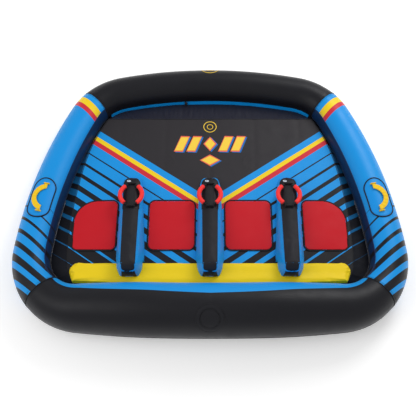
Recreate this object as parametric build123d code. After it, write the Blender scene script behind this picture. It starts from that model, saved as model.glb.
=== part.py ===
import os
from math import atan2, cos, degrees, hypot, radians, sin, sqrt

from build123d import *

os.makedirs("parts", exist_ok=True)

# Towable tube for riders who sit side by side. +X is across the riders, +Y is forward
# (the tow end) and +Z is up. The origin is on the water plane, under the middle of the whole.

# ---- the inflated ring: centre line and tube sizes ----
front_centre_y = 932.0          # centre line of the front tube at x = 0
ring_arcs = (                   # right half from the front middle: bend radius, turn in degrees
    (3100.0, 12.35),            # front tube
    (392.0, 53.2),              # front corner
    (3260.0, 20.7),             # side tube
    (380.0, 90.6),              # rear corner
)
tube_r = 127.5
rear_tube_r = 180.0
front_seam_at = 1.66            # places along the ring: arc number and fraction of that arc
rear_seam_at = 3.52
rear_middle = 5.0

# ---- cloth and bladder sizes ----
cover_t = 3.0                   # padded nylon cover
bladder_t = 2.0                 # inflated vinyl
gap = 1.0                       # bladder to cover

# ---- deck ----
deck_top = 120.0
deck_front_y = 628.0
deck_rear_y = -738.0
deck_corner = (772.0, 632.0)
deck_side = ((893, 350), (955, 36), (980, -192), (988, -410), (981, -560), (960, -645))
deck_rear_corner = (905.0, -712.0)
under_z = 6.0
gusset_foot_z = 80.0            # where the sloping gussets meet the tubes
side_places = (1.75, 2.23, 2.52, 2.72, 2.9, 3.14, 3.4, 3.8)     # ring places facing the deck's side
seam_gap = 3.0                  # gusset edge to deck edge
floor_cells = 6

# ---- lumbar bolster ----
bolster_front_y = -567.0
bolster_top = 152.0
bolster_half = 955.0
bolster_end_round = 70.0
bolster_rear_corner = (925.0, -708.0)
bolster_rear_y = -734.0

# ---- wedge dividers between the riders ----
divider_spots = {"left": (-560.0, -541.0), "middle": (0.0, 0.0), "right": (560.0, 541.0)}
divider_nose_y = 98.0
divider_tail_y = -684.0
divider_stations = (            # y, half width at the base, half width at the top, top height
    (98, 46, 36, 150),
    (84, 66, 50, 163),
    (40, 77, 55, 173),
    (-150, 84, 54, 208),
    (-400, 93, 51, 256),
    (-560, 99, 49, 288),
    (-640, 90, 48, 300),
    (-684, 66, 42, 262),
)
side_bulge = 6.0
top_crown = 3.0
strip_t = 2.0

# ---- seat pads ----
pad_rear_y = -465.0
pad_front_y = -82.0
pad_t = 6.0
pad_gap_x = 108.0
pad_outer_x = (430.0, 656.0)
pad_end_x = 957.0
binding_w = 9.0

# ---- divider handles ----
handle_front_y = 9.0
handle_rear_y = -165.0
handle_reach = 52.0
handle_half_gap = 25.0
grip_r = 13.5
cord_r = 4.8
pivot_lift = 11.0

# ---- side handles ----
side_handle_at = 2.68
side_patch_len = 316.0
side_patch_w = 156.0
side_strap_w = 30.0
side_strap_t = 6.0
side_handle_half = 86.0
side_handle_reach = 62.0
side_pivot_lift = 9.0

# ---- valve hatch on the rear tube ----
hatch_tilt = 53.0               # degrees above level, facing backwards
hatch_r = 92.0
lid_r = 61.0
valve_hole_r = 42.0
valve_drop = 10.0               # valve sunk below the hatch lid

# ---- tow point ----
tow_eye_r = 12.0
tow_eye_outer = 22.5
tow_eye_w = 34.0
tow_pivot = (0.0, 1058.5, 57.0)
tow_reach = 23.5
tow_drop = 20.0


def smooth(t):
    t = min(max(t, 0.0), 1.0)
    return t * t * (3 - 2 * t)


def tubeRadius(at):
    return tube_r + (rear_tube_r - tube_r) * smooth((at - 3.16) / 1.44)


def ringAt(at, side=1):
    """Centre line point and clockwise heading at a place along the ring."""
    x, y, heading = 0.0, front_centre_y, 0.0
    turned = sum(turn for _, turn in ring_arcs)
    for number, (bend, turn) in enumerate(ring_arcs + ((None, 180.0 - turned),)):
        if bend is None:
            bend = x / sin(radians(turn))
        share = min(max(at - number, 0.0), 1.0)
        ahead = heading + radians(turn) * share
        x += bend * (sin(ahead) - sin(heading))
        y += bend * (cos(ahead) - cos(heading))
        heading = ahead
    return x * side, y, heading


def ringPlane(at, side=1, radius=None):
    x, y, heading = ringAt(at, side)
    z = radius if radius else tubeRadius(at)
    return Plane(origin=(x, y, z), x_dir=(0, 0, 1), z_dir=(cos(heading), -side * sin(heading), 0))


def ringInner(at, side, z, clear):
    """Point on the ring's inner face at height z, a little way clear of it."""
    x, y, heading = ringAt(at, side)
    r = tubeRadius(at)
    inward = sqrt(max(r * r - (r - z) ** 2, 0.0)) + clear
    return x - side * sin(heading) * inward, y - cos(heading) * inward


def spread(start, end, count):
    return [start + (end - start) * i / count for i in range(count + 1)]


# nearly even stations, because uneven ones let the lofted surface swing wide between them
def ringStations(start, end):
    marks = spread(0, 1, 6) + spread(1, 2, 5) + spread(2, 3, 12) + spread(3, 4, 8) + spread(4, 5, 8)
    inside = sorted({round(m, 4) for m in marks if start + 0.05 < m < end - 0.05})
    return [start] + inside + [end]


def ringLoft(places, inset):
    sections = [ringPlane(at, side) * Circle(tubeRadius(at) - inset) for at, side in places]
    return loft(sections)


def ringShell(places, inset, thick):
    return ringLoft(places, inset) - ringLoft(places, inset + thick)


def rightRun(start, end):
    return [(at, 1) for at in ringStations(start, end)]


def leftRun(start, end):
    return [(at, -1) for at in reversed(ringStations(start, end))]


def bendPiece(number, start, end, side, outer_r, inner_r):
    """Stretch of even tube round one arc of the ring, between two shares of that arc."""
    bend, turn = ring_arcs[number]
    x, y, heading = ringAt(number)
    centre = (side * (x - bend * sin(heading)), y - bend * cos(heading), 0)
    section = ringPlane(number + start, side, tube_r) * (Circle(outer_r) - Circle(inner_r))
    turn_axis = Axis(centre, (0, 0, -side))
    return revolve(section, turn_axis, revolution_arc=turn * (end - start))


def evenTube(front_share, inset, thick):
    """Both front corners and the front tube, out to a share of each corner."""
    outer_r = tube_r - inset
    inner_r = outer_r - thick
    bend, turn = ring_arcs[0]
    section = ringPlane(1, -1, tube_r) * (Circle(outer_r) - Circle(inner_r))
    middle = revolve(section, Axis((0, front_centre_y - bend, 0), (0, 0, -1)), revolution_arc=2 * turn)
    corners = [bendPiece(1, 0, front_share, side, outer_r, inner_r) for side in (-1, 1)]
    return middle + corners[0] + corners[1]


def sideRun(front_share, tail, inset, thick, side):
    """One side of the ring from a share of the front corner round to the rear seam."""
    outer_r = tube_r - inset
    run = bendPiece(2, 0, 1, side, outer_r, outer_r - thick)
    if front_share < 1:
        run += bendPiece(1, front_share, 1, side, outer_r, outer_r - thick)
    return run + tail


# ---- tube covers and the two bladder chambers ----
def makeRing():
    lofted = [3.0, 3.1, 3.2, 3.3, 3.4, rear_seam_at]
    right = [(at, 1) for at in lofted]
    open_tail = ringLoft(right, 0) - ringLoft(right[:-1] + [(rear_seam_at + 0.01, 1)], cover_t)
    right_cover = sideRun(front_seam_at - 1, open_tail, 0, cover_t, 1)
    rear_places = rightRun(rear_seam_at, rear_middle)[:-1] + leftRun(rear_seam_at, rear_middle)
    hole = hatchPlane() * Cylinder(valve_hole_r, 60)
    valve_neck = hatchPlane() * Cylinder(26, 60)
    inset = cover_t + gap
    wall = 0.005
    closed_end = ringLoft(right[:-1] + [(rear_seam_at - wall, 1)], inset)
    closed_end -= ringLoft(right[:-1] + [(rear_seam_at - 2 * wall, 1)], inset + bladder_t)
    half = sideRun(1, closed_end, inset, bladder_t, 1)
    main = evenTube(1, inset, bladder_t) + half + mirror(half, Plane.YZ)
    start = rear_seam_at + wall
    backrest = ringLoft(rightRun(start, rear_middle)[:-1] + leftRun(start, rear_middle), inset)
    start += wall
    backrest -= ringLoft(rightRun(start, rear_middle)[:-1] + leftRun(start, rear_middle), inset + bladder_t)
    return {
        "front_tube_cover": evenTube(front_seam_at - 1, 0, cover_t),
        "right_tube_cover": right_cover,
        "left_tube_cover": mirror(right_cover, Plane.YZ),
        "rear_tube_cover": ringShell(rear_places, 0, cover_t) - hole,
        "main_tube_bladder": main,
        "backrest_bladder": backrest - valve_neck,
    }


# ---- deck, underside, gussets and floor bladder ----
def deckOutline(inset):
    corner_x, corner_y = deck_corner
    rear_x, rear_y = deck_rear_corner
    front_y = deck_front_y - inset
    right = [(corner_x - inset, corner_y - inset)]
    right += [(x - inset, y) for x, y in deck_side]
    right += [(rear_x - inset, rear_y + inset)]
    left = [(-x, y) for x, y in right]
    with BuildLine() as outline:
        ThreePointArc(left[0], (0, front_y), right[0])
        Spline(*right)
        ThreePointArc(right[-1], (0, deck_rear_y + inset), left[-1])
        Spline(*reversed(left))
    return make_face(outline.line)


def prism(face, bottom, top):
    return Pos(0, 0, bottom) * extrude(face, amount=top - bottom, dir=(0, 0, 1))


def quadStrip(stations):
    """Sheet through quad sections, each four corners in order."""
    return loft([make_face(Polyline(*corners, close=True)) for corners in stations], ruled=True)


def gussetStation(deck_point, at, side):
    tube_x, tube_y = ringInner(at, side, gusset_foot_z, 1.0)
    deck_x, deck_y = deck_point
    return (
        (deck_x, deck_y, deck_top),
        (tube_x, tube_y, gusset_foot_z),
        (tube_x, tube_y, gusset_foot_z - cover_t),
        (deck_x, deck_y, deck_top - cover_t),
    )


def deckSideMarks():
    """Points down the deck's right edge, each with the place on the ring that it faces."""
    corners = (deck_corner,) + deck_side + (deck_rear_corner,)
    edge = Spline(*corners)
    marks = []
    for share in spread(0, 1, 32):
        point = edge @ share
        for (a, b), (start, end) in zip(zip(corners, corners[1:]), zip(side_places, side_places[1:])):
            if a[1] + 0.01 >= point.Y >= b[1] - 0.01:
                place = start + (end - start) * (a[1] - point.Y) / (a[1] - b[1])
        marks.append(((point.X, point.Y), place))
    return marks


def makeGussets():
    corner_x, corner_y = deck_corner
    rear_x, rear_y = deck_rear_corner
    front_shares = {1: 1.75, 0.85: 1.2, 0.6: 0.72, 0.2: 0.23}      # share of the half width: ring place
    rear_shares = {1: 3.8, 0.7: 4.3, 0.35: 4.65, 0.1: 4.9}
    front, tail = [], []
    for share, place in front_shares.items():
        y = deck_front_y + (corner_y - deck_front_y) * share * share + seam_gap
        front.append(((share * corner_x, y), place))
    for share, place in rear_shares.items():
        y = rear_y + (deck_rear_y - rear_y) * (1 - share * share) - seam_gap
        tail.append(((share * rear_x, y), place))
    marks = deckSideMarks()
    sides = [mark for mark in marks if mark[0][1] > deck_side[-1][1]]
    corner = [((x + seam_gap, y - seam_gap), at) for (x, y), at in marks[len(sides) - 1:-1]]
    tail = corner + tail
    right = quadStrip([gussetStation((x + seam_gap, y), at, 1) for (x, y), at in sides])
    return {
        "front_gusset": quadStrip(acrossMiddle(front)),
        "right_gusset": right,
        "left_gusset": mirror(right, Plane.YZ),
        "rear_gusset": quadStrip(acrossMiddle(tail)),
    }


def acrossMiddle(marks):
    """Gusset stations from the right end across to the left end."""
    right = [gussetStation(point, at, 1) for point, at in marks]
    left = [gussetStation((-x, y), at, -1) for (x, y), at in reversed(marks)]
    return right + left


def makeDeck():
    places = rightRun(0, rear_middle) + leftRun(0, rear_middle)[1:-1]
    rim = [ringInner(at, side, under_z + cover_t, 2.5) for at, side in places]
    underside = make_face(Spline(*rim, periodic=True))
    bladder = prism(deckOutline(8), under_z + cover_t + gap, deck_top - cover_t - gap)
    core = prism(deckOutline(8 + bladder_t), under_z + cover_t + gap + bladder_t,
                 deck_top - cover_t - gap - bladder_t)
    cell_w = 2000.0 / floor_cells
    cells = [Pos(-1000 + cell_w * (i + 0.5), 0, 60) * Box(cell_w - bladder_t, 1600, 200)
             for i in range(floor_cells)]
    for cell in cells:
        bladder -= core & cell
    return {
        "deck_cover": prism(deckOutline(0), deck_top - cover_t, deck_top),
        "underside_cover": prism(underside, under_z, under_z + cover_t),
        "floor_bladder": bladder,
    }


# ---- lumbar bolster ----
def bolsterBody(inset):
    half = bolster_half - inset
    front = bolster_front_y - inset
    turn = bolster_end_round
    rear_x, rear_y = bolster_rear_corner[0] - inset, bolster_rear_corner[1] + inset
    with BuildLine() as outline:
        Line((-half + turn, front), (half - turn, front))
        ThreePointArc((half - turn, front), (half - 0.29 * turn, front - 0.29 * turn), (half, front - turn))
        Line((half, front - turn), (rear_x, rear_y))
        ThreePointArc((rear_x, rear_y), (0, bolster_rear_y + inset), (-rear_x, rear_y))
        Line((-rear_x, rear_y), (-half, front - turn))
        ThreePointArc((-half, front - turn), (-half + 0.29 * turn, front - 0.29 * turn),
                      (-half + turn, front))
    return prism(make_face(outline.line), deck_top + 0.5 + inset, bolster_top - inset)


# ---- wedge dividers ----
def dividerCentre(name, y):
    nose_x, tail_x = divider_spots[name]
    return nose_x + (tail_x - nose_x) * (divider_nose_y - y) / (divider_nose_y - divider_tail_y)


def dividerSizes(y):
    """Base half width, top half width and top height of a divider at a place along it."""
    for ahead, behind in zip(divider_stations, divider_stations[1:]):
        if ahead[0] >= y >= behind[0]:
            share = (ahead[0] - y) / (ahead[0] - behind[0])
            return [a + (b - a) * share for a, b in zip(ahead[1:], behind[1:])]
    return divider_stations[-1][1:]


def dividerSection(name, y, sizes, inset):
    base, top, height = sizes
    middle_y = (divider_nose_y + divider_tail_y) / 2
    length = divider_nose_y - divider_tail_y
    at_y = middle_y + (y - middle_y) * (1 - 2 * inset / length)
    low = deck_top + 0.5 + inset
    high = height - inset
    base -= inset
    top -= inset
    plane = Plane(origin=(dividerCentre(name, at_y), at_y, 0), x_dir=(-1, 0, 0), z_dir=(0, 1, 0))
    side_x = (base + top) / 2 + side_bulge
    mid_z = (low + high) / 2
    with BuildLine() as edge:
        Line((-base, low), (base, low))
        ThreePointArc((base, low), (side_x, mid_z), (top, high))
        ThreePointArc((top, high), (0, high + top_crown), (-top, high))
        ThreePointArc((-top, high), (-side_x, mid_z), (-base, low))
    return plane * make_face(edge.line)


def dividerBody(name, inset):
    sections = [dividerSection(name, s[0], s[1:], inset) for s in divider_stations]
    front = bolster_front_y + 3.0 + inset
    top = bolster_top + 1.5 + inset
    notch = Pos(dividerCentre(name, front), front - 200, top - 100) * Box(400, 400, 200)
    return loft(sections, ruled=True) - notch


def topSheet(name, start_y, end_y, lift, thick, shrink, crown=top_crown):
    """Thin sheet laid on a divider's top, bent where the divider bends."""
    bends = [station[0] for station in divider_stations if end_y < station[0] < start_y]
    sections = []
    for y in [start_y] + bends + [end_y]:
        _, top, height = dividerSizes(y)
        half = top - shrink
        low = height + lift
        high = low + thick
        plane = Plane(origin=(dividerCentre(name, y), y, 0), x_dir=(-1, 0, 0), z_dir=(0, 1, 0))
        with BuildLine() as edge:
            ThreePointArc((-half, low), (0, low + crown), (half, low))
            Line((half, low), (half, high))
            ThreePointArc((half, high), (0, high + crown), (-half, high))
            Line((-half, high), (-half, low))
        sections.append(plane * make_face(edge.line))
    return loft(sections, ruled=True)


def topHeight(y):
    return dividerSizes(y)[2] + top_crown


def makeDivider(name):
    patch_end = handle_rear_y - 24
    patch_t = strip_t
    badge_y = 52.0
    badge = Pos(dividerCentre(name, badge_y) - 22, badge_y, topHeight(badge_y) + patch_t + 2.0)
    webbing_t = 2.5
    webbing_lift = top_crown + patch_t + 1.2
    webbing = topSheet(name, handle_front_y + 18, handle_rear_y - 18, webbing_lift, webbing_t, 22, 0.4)
    fold_h = 17
    for y in (handle_front_y + 12, handle_rear_y - 12):
        fold_z = topHeight(y) + patch_t + 3.4 + fold_h / 2
        webbing += Pos(dividerCentre(name, y), y, fold_z) * Box(64, 9, fold_h)
    tilt = degrees(atan2(topHeight(badge_y - 10) - topHeight(badge_y + 10), 20))
    return {
        f"{name}_divider_cover": dividerBody(name, 0) - dividerBody(name, cover_t),
        "divider_bladders": dividerBody(name, cover_t + gap)
        - dividerBody(name, cover_t + gap + bladder_t),
        f"{name}_divider_strip": topSheet(name, patch_end - 1, -676, 0.5, strip_t, 3),
        f"{name}_head_patch": topSheet(name, 88, patch_end, 0.5, patch_t, 4),
        "handle_webbing": webbing,
        "divider_badges": badge * Rot(-tilt, 0, 0) * extrude(Ellipse(15, 9), amount=1.6),
    }


# ---- grab handles ----
def dividerHandleFrame(name, side):
    """Origin on the hinge line, X away from the divider's middle, Y along the hinge line."""
    mid_y = (handle_front_y + handle_rear_y) / 2
    rise = topHeight(handle_rear_y) - topHeight(handle_front_y)
    run = handle_front_y - handle_rear_y
    length = hypot(rise, run)
    along = (0, -run / length * side, rise / length * side)
    mid_z = (topHeight(handle_front_y) + topHeight(handle_rear_y)) / 2 + strip_t + 4.0 + pivot_lift
    origin = (dividerCentre(name, mid_y) + side * handle_half_gap, mid_y, mid_z)
    return Plane(origin=origin, x_dir=(side, 0, 0), z_dir=(0, rise / length, run / length)), along


def handleHalf():
    run = handle_front_y - handle_rear_y
    return hypot(run, topHeight(handle_rear_y) - topHeight(handle_front_y)) / 2


def makeDividerHandle(name, side):
    frame, _ = dividerHandleFrame(name, side)
    half = handleHalf()
    path = ThreePointArc((0, -half), (handle_reach, 0), (0, half))
    grip_path = path.trim(0.10, 0.90)
    start = Plane(origin=path @ 0, z_dir=path % 0)
    grip_start = Plane(origin=grip_path @ 0, z_dir=grip_path % 0)
    cord = sweep(start * Circle(cord_r), path=path)
    ends = Pos(0, -half, 0) * Sphere(cord_r) + Pos(0, half, 0) * Sphere(cord_r)
    bore = cord_r + 0.2
    grip = sweep(grip_start * Circle(grip_r), path=grip_path)
    grip -= sweep(start * Circle(bore), path=path)
    return {"grip": frame * grip, "cord": frame * (cord + ends)}


def sideHandleFrame(side):
    """Origin on the hinge line over the side tube, X outwards, Y along the tube."""
    x, y, heading = ringAt(side_handle_at, side)
    r = tubeRadius(side_handle_at)
    out = (side * sin(heading), cos(heading), 0)
    lift = 2 * r + 3.0 + side_pivot_lift
    return Plane(origin=(x - out[0] * 18, y - out[1] * 18, lift), x_dir=out, z_dir=(0, 0, 1))


def makeSideHandle(side):
    frame = sideHandleFrame(side)
    half = side_handle_half
    path = ThreePointArc((0, -half), (side_handle_reach, 0), (0, half))
    section = Plane(origin=path @ 0, x_dir=(0, 0, 1), z_dir=path % 0)
    strap = sweep(section * Rectangle(side_strap_t, side_strap_w), path=path)
    strap = strap & (Pos(250, 0, 0) * Box(500, 2 * half + 80, 40))
    hinge_rod = Rot(90, 0, 0) * Cylinder(side_strap_t / 2, 2 * half + side_strap_w - 2)
    middle_cut = Box(side_strap_t + 2, 2 * half - side_strap_w + 2, side_strap_t + 2)
    return frame * (strap + (hinge_rod - middle_cut))


def makeSidePatch(side):
    x, y, heading = ringAt(side_handle_at, side)
    r = tubeRadius(side_handle_at)
    places = [(2 + i / 6, 1) for i in range(7)]
    sheet = ringLoft(places, -2.5) - ringLoft(places, -0.2)
    if side < 0:
        sheet = mirror(sheet, Plane.YZ)
    up = Plane(origin=(x, y, r), x_dir=(side * cos(heading), -sin(heading), 0), z_dir=(0, 0, 1))
    oval = extrude(SlotOverall(side_patch_len, side_patch_w), amount=2 * r)
    patch = sheet & (up * oval)
    frame = sideHandleFrame(side)
    reach = side_handle_half + side_strap_w / 2 + 7
    for end in (-1, 1):
        fold = Box(40, 8, 16.4)
        patch += frame * (Pos(6, end * reach, -2.2) * fold)
    return patch


# ---- zipper on the front tube and closure strips at the rear corners ----
def bandOnRing(start, end, low, high, near, far, both_sides):
    """Upright band along the inside of the ring between two heights."""
    runs = leftRun(start, end)[:-1] + rightRun(start, end) if both_sides else rightRun(start, end)
    sections = []
    for at, side in runs:
        plane = ringPlane(at, side, (low + high) / 2)
        r = tubeRadius(at)
        # the plane's Y axis points to the outside or the inside of the ring, by its tangent
        x, y, heading = ringAt(at, side)
        inward = plane.to_local_coords(Vector(x - side * sin(heading), y - cos(heading), plane.origin.Z)).Y
        mid = (r + (near + far) / 2) * (1 if inward > 0 else -1)
        sections.append(plane * (Pos(0, mid) * Rectangle(high - low, far - near)))
    return loft(sections, ruled=True)


def makeSlider(angle):
    centre_y = front_centre_y - ring_arcs[0][0]
    back = ring_arcs[0][0] - tube_r - 6.5
    block = Pos(0, back - 5, 104) * Box(20, 9, 24)
    block += Pos(0, back - 11.5, 106) * Box(8, 4, 10)
    pull = Pos(0, back - 15.5, 102) * Box(10, 4, 22)
    return Pos(0, centre_y, 0) * (Rot(0, 0, -angle) * (block + pull))


# ---- valve hatch and valve ----
def hatchPlane():
    t = radians(hatch_tilt)
    _, y, _ = ringAt(rear_middle)
    return Plane(origin=(0, y - rear_tube_r * cos(t), rear_tube_r + rear_tube_r * sin(t)),
                 x_dir=(1, 0, 0), z_dir=(0, -cos(t), sin(t)))


def makeValve():
    plane = hatchPlane()
    places = rightRun(4.5, rear_middle)[:-1] + leftRun(4.5, rear_middle)
    outside = ringLoft(places, -0.2)
    rim_skin = ringLoft(places, -5) - outside
    lid_skin = ringLoft(places, -8) - ringLoft(places, -1.2)
    rim = rim_skin & (plane * (Cylinder(hatch_r, 120) - Cylinder(lid_r + 1.5, 140)))
    lid = lid_skin & (plane * Cylinder(lid_r, 120))
    seat = plane.offset(-valve_drop)
    body = seat * (Pos(0, 0, -22) * Cylinder(24, 30) + Pos(0, 0, -12) * Cylinder(31, 3))
    body -= seat * (Pos(0, 0, -14) * Cylinder(18, 40))
    cap = seat * (Pos(0, 0, -4.7) * Cylinder(24.5, 4) + Pos(0, 0, -1.7) * Box(36, 7, 2.4))
    cap += seat * (Pos(0, 0, -12) * Cylinder(17.8, 11))
    return {"hatch_rim": rim, "hatch_lid": lid, "valve_body": body, "valve_cap": cap}


# ---- floor valves and drains under the deck cover ----
def makeFloorValves():
    spots = ((-320, 248), (300, 240))
    ring = Cylinder(62, 1.6) - Cylinder(52, 4)
    return [Pos(x, y, deck_top + 1.2) * ring for x, y in spots]


# ---- seat pads ----
def padOutline(name, grow):
    front = pad_front_y + grow
    rear = pad_rear_y - grow
    if name.startswith("inner"):
        middle = (pad_gap_x + pad_outer_x[0]) / 2
        width = pad_outer_x[0] - pad_gap_x + 2 * grow
        face = Pos(middle, (front + rear) / 2) * RectangleRounded(width, front - rear, 42 + grow)
    else:
        near = pad_outer_x[1] - grow
        end = pad_end_x + grow
        with BuildLine() as outline:
            Line((near, rear), (near, front))
            Line((near, front), (near + 140, front - 2))
            TangentArc((near + 140, front - 2), (end, front - 171), tangent=(1, -0.05))
            Line((end, front - 171), (end - 5, rear))
            Line((end - 5, rear), (near, rear))
        face = fillet(make_face(outline.line).vertices().sort_by(Axis.Y)[:2], 34 + grow)
        corner = face.vertices().sort_by(Axis.Y)[-2:]
        face = fillet(corner.sort_by(Axis.X)[:1], 38 + grow)
    if name.endswith("left"):
        face = mirror(face, Plane.YZ)
    return face


def makePads():
    parts = {}
    bindings = []
    for name in ("outer_left", "inner_left", "inner_right", "outer_right"):
        pad = prism(padOutline(name, 0), deck_top + 0.5, deck_top + 0.5 + pad_t)
        ring = prism(padOutline(name, binding_w), deck_top + 0.5, deck_top + 5)
        ring -= prism(padOutline(name, 0.3), deck_top, deck_top + 10)
        parts[f"{name}_seat_pad"] = pad
        bindings.append(ring)
    parts["seat_pad_bindings"] = bindings
    return parts


# ---- tow point at the front ----
def makeTow():
    x, y, z = tow_pivot
    places = leftRun(0, 0.5)[:-1] + rightRun(0, 0.5)
    skin = ringLoft(places, -4) - ringLoft(places, -0.3)
    facing = Plane(origin=(0, front_centre_y, tube_r), x_dir=(1, 0, 0),
                   z_dir=(0, cos(radians(-18)), sin(radians(-18))))
    patch = skin & (facing * extrude(RectangleRounded(300, 120, 30), amount=200))
    strap = ringLoft(places, -6.5) - ringLoft(places, -4.2)
    strap = strap & (facing * extrude(Rectangle(250, 44), amount=200))
    lugs = Pos(x, y - 3, z) * (Pos(-24, 0, 0) * Box(8, 20, 22) + Pos(24, 0, 0) * Box(8, 20, 22))
    outside = ringLoft(places, -6.8)
    pin = Pos(x, y, z) * (Rot(0, 90, 0) * Cylinder(4, 56))
    harness = strap + (lugs - outside)
    eye_y = y + tow_reach
    eye_z = z - tow_drop
    length = hypot(tow_reach, tow_drop)
    slope = degrees(atan2(-tow_drop, tow_reach))
    ear_w = tow_eye_w
    link = Pos(x, y, z) * Rot(slope, 0, 0) * (Pos(0, length / 2, 0) * Box(ear_w, length, 15))
    eye = Rot(0, 90, 0) * Cylinder(tow_eye_outer, tow_eye_w)
    barrel = Rot(0, 90, 0) * Cylinder(9, ear_w)
    connector = link + Pos(x, eye_y, eye_z) * eye + Pos(x, y, z) * barrel
    connector -= Pos(x, eye_y, eye_z) * (Rot(0, 90, 0) * Cylinder(tow_eye_r, 80))
    connector -= Pos(x, y, z) * (Rot(0, 90, 0) * Cylinder(4.05, 80))
    return {"tow_patch": patch, "tow_harness": harness - pin, "tow_pin": pin, "tow_connector": connector}


slider_angle = -3.6             # rest place of the zipper slider, degrees from the middle


def makeAll():
    parts = {}
    parts.update(makeRing())
    parts.update(makeDeck())
    parts.update(makeGussets())
    parts["bolster_cover"] = bolsterBody(0) - bolsterBody(cover_t)
    parts["bolster_bladder"] = bolsterBody(cover_t + gap) - bolsterBody(cover_t + gap + bladder_t)
    grouped = {"divider_badges": [], "divider_bladders": [], "handle_webbing": []}
    for name in divider_spots:
        pieces = makeDivider(name)
        for group, solids in grouped.items():
            solids.append(pieces.pop(group))
        parts.update(pieces)
        for side, word in ((-1, "left"), (1, "right")):
            handle = makeDividerHandle(name, side)
            parts[f"{name}_divider_{word}_grip"] = handle["grip"]
            parts[f"{name}_divider_{word}_cord"] = handle["cord"]
    parts.update(grouped)
    parts.update(makePads())
    for side, word in ((-1, "left"), (1, "right")):
        parts[f"{word}_side_handle"] = makeSideHandle(side)
    parts["side_handle_patches"] = [makeSidePatch(side) for side in (-1, 1)]
    parts["front_zipper"] = bandOnRing(0, 1.48, 87, 110, 2.0, 5.0, True)
    parts["zipper_slider"] = makeSlider(slider_angle)
    strip = bandOnRing(2.62, 3.46, 90, 112, 2.5, 5.5, False)
    parts["closure_strips"] = [strip, mirror(strip, Plane.YZ)]
    parts.update(makeValve())
    parts["floor_valves"] = makeFloorValves()
    parts.update(makeTow())
    return parts


if __name__ == "__main__":
    for node, shape in makeAll().items():
        if isinstance(shape, list):
            shape = Compound(children=shape)
        export_step(shape, f"parts/{node}.step")
        print(node)
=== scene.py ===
from math import acos, asin, cos, degrees, exp, hypot, pi, radians, sin, sqrt

import bmesh
import bpy
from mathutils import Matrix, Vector, geometry, noise
from mathutils.bvhtree import BVHTree


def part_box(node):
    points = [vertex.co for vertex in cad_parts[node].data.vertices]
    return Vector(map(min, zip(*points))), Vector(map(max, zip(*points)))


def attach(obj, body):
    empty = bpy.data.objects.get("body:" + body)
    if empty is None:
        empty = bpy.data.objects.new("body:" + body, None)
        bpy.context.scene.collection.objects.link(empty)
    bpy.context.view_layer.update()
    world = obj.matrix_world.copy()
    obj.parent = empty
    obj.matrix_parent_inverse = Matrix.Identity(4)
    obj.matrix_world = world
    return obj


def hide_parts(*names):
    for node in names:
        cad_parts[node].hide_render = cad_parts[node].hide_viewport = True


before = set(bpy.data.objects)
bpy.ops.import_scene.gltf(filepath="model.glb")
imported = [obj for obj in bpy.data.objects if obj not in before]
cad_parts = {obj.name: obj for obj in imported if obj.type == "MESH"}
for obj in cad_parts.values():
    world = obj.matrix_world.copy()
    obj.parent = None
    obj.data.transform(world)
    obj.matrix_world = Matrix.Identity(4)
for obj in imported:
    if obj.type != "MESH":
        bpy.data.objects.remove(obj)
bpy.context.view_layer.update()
print("stage: frame loaded")

scene = bpy.context.scene
scene.view_settings.view_transform = "Standard"     # printed colours keep their strength
up = Vector((0, 0, 1))


# small tools for meshes
def addPiece(name, mesh, materials, body="tube", nodes=(), sharp=55):
    piece = bpy.data.objects.new(name, mesh)
    scene.collection.objects.link(piece)
    mesh.materials.clear()
    for material in materials:
        mesh.materials.append(material)
    mesh.polygons.foreach_set("use_smooth", [True] * len(mesh.polygons))
    mesh.set_sharp_from_angle(angle=radians(sharp))
    if nodes:
        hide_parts(*nodes)
    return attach(piece, body)


def meshFrom(points, faces):
    mesh = bpy.data.meshes.new("cloth")
    mesh.from_pydata([tuple(p) for p in points], [], faces)
    mesh.update()
    return mesh


def gridFaces(rows, width, wrapAlong=False, wrapAcross=False):
    faces = []
    for i in range(rows if wrapAlong else rows - 1):
        for j in range(width if wrapAcross else width - 1):
            ahead, beside = (i + 1) % rows, (j + 1) % width
            faces.append((i * width + j, i * width + beside, ahead * width + beside, ahead * width + j))
    return faces


def gridMesh(rows, wrapAlong=False, wrapAcross=False):
    points = [p for row in rows for p in row]
    return meshFrom(points, gridFaces(len(rows), len(rows[0]), wrapAlong, wrapAcross))


def joinMeshes(meshes):
    work = bmesh.new()
    for mesh in meshes:
        work.from_mesh(mesh)
    joined = bpy.data.meshes.new("cloth")
    work.to_mesh(joined)
    work.free()
    return joined


def outward(mesh):
    work = bmesh.new()
    work.from_mesh(mesh)
    bmesh.ops.recalc_face_normals(work, faces=work.faces)
    work.to_mesh(mesh)
    work.free()
    return mesh


def thickened(mesh, amount):
    # a sheet with a back and a rim, grown away from its facing side
    work = bmesh.new()
    work.from_mesh(mesh)
    bmesh.ops.solidify(work, geom=work.faces[:], thickness=amount)
    bmesh.ops.recalc_face_normals(work, faces=work.faces)
    work.to_mesh(mesh)
    work.free()
    return mesh


def evenly(points, count, closed=False):
    # the same line with evenly spaced points
    line = [Vector(p) for p in points]
    if closed:
        line.append(line[0].copy())
    marks = [0.0]
    for a, b in zip(line, line[1:]):
        marks.append(marks[-1] + (b - a).length)
    spaced, at = [], 0
    for i in range(count):
        want = marks[-1] * i / (count if closed else count - 1)
        while at < len(line) - 2 and marks[at + 1] < want:
            at += 1
        span = max(marks[at + 1] - marks[at], 1e-9)
        spaced.append(line[at].lerp(line[at + 1], (want - marks[at]) / span))
    return spaced


def tangents(points, closed):
    found = []
    for i, _ in enumerate(points):
        before = points[i - 1] if closed or i > 0 else points[0]
        after = points[(i + 1) % len(points)] if closed or i < len(points) - 1 else points[-1]
        found.append((after - before).normalized())
    return found


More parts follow.
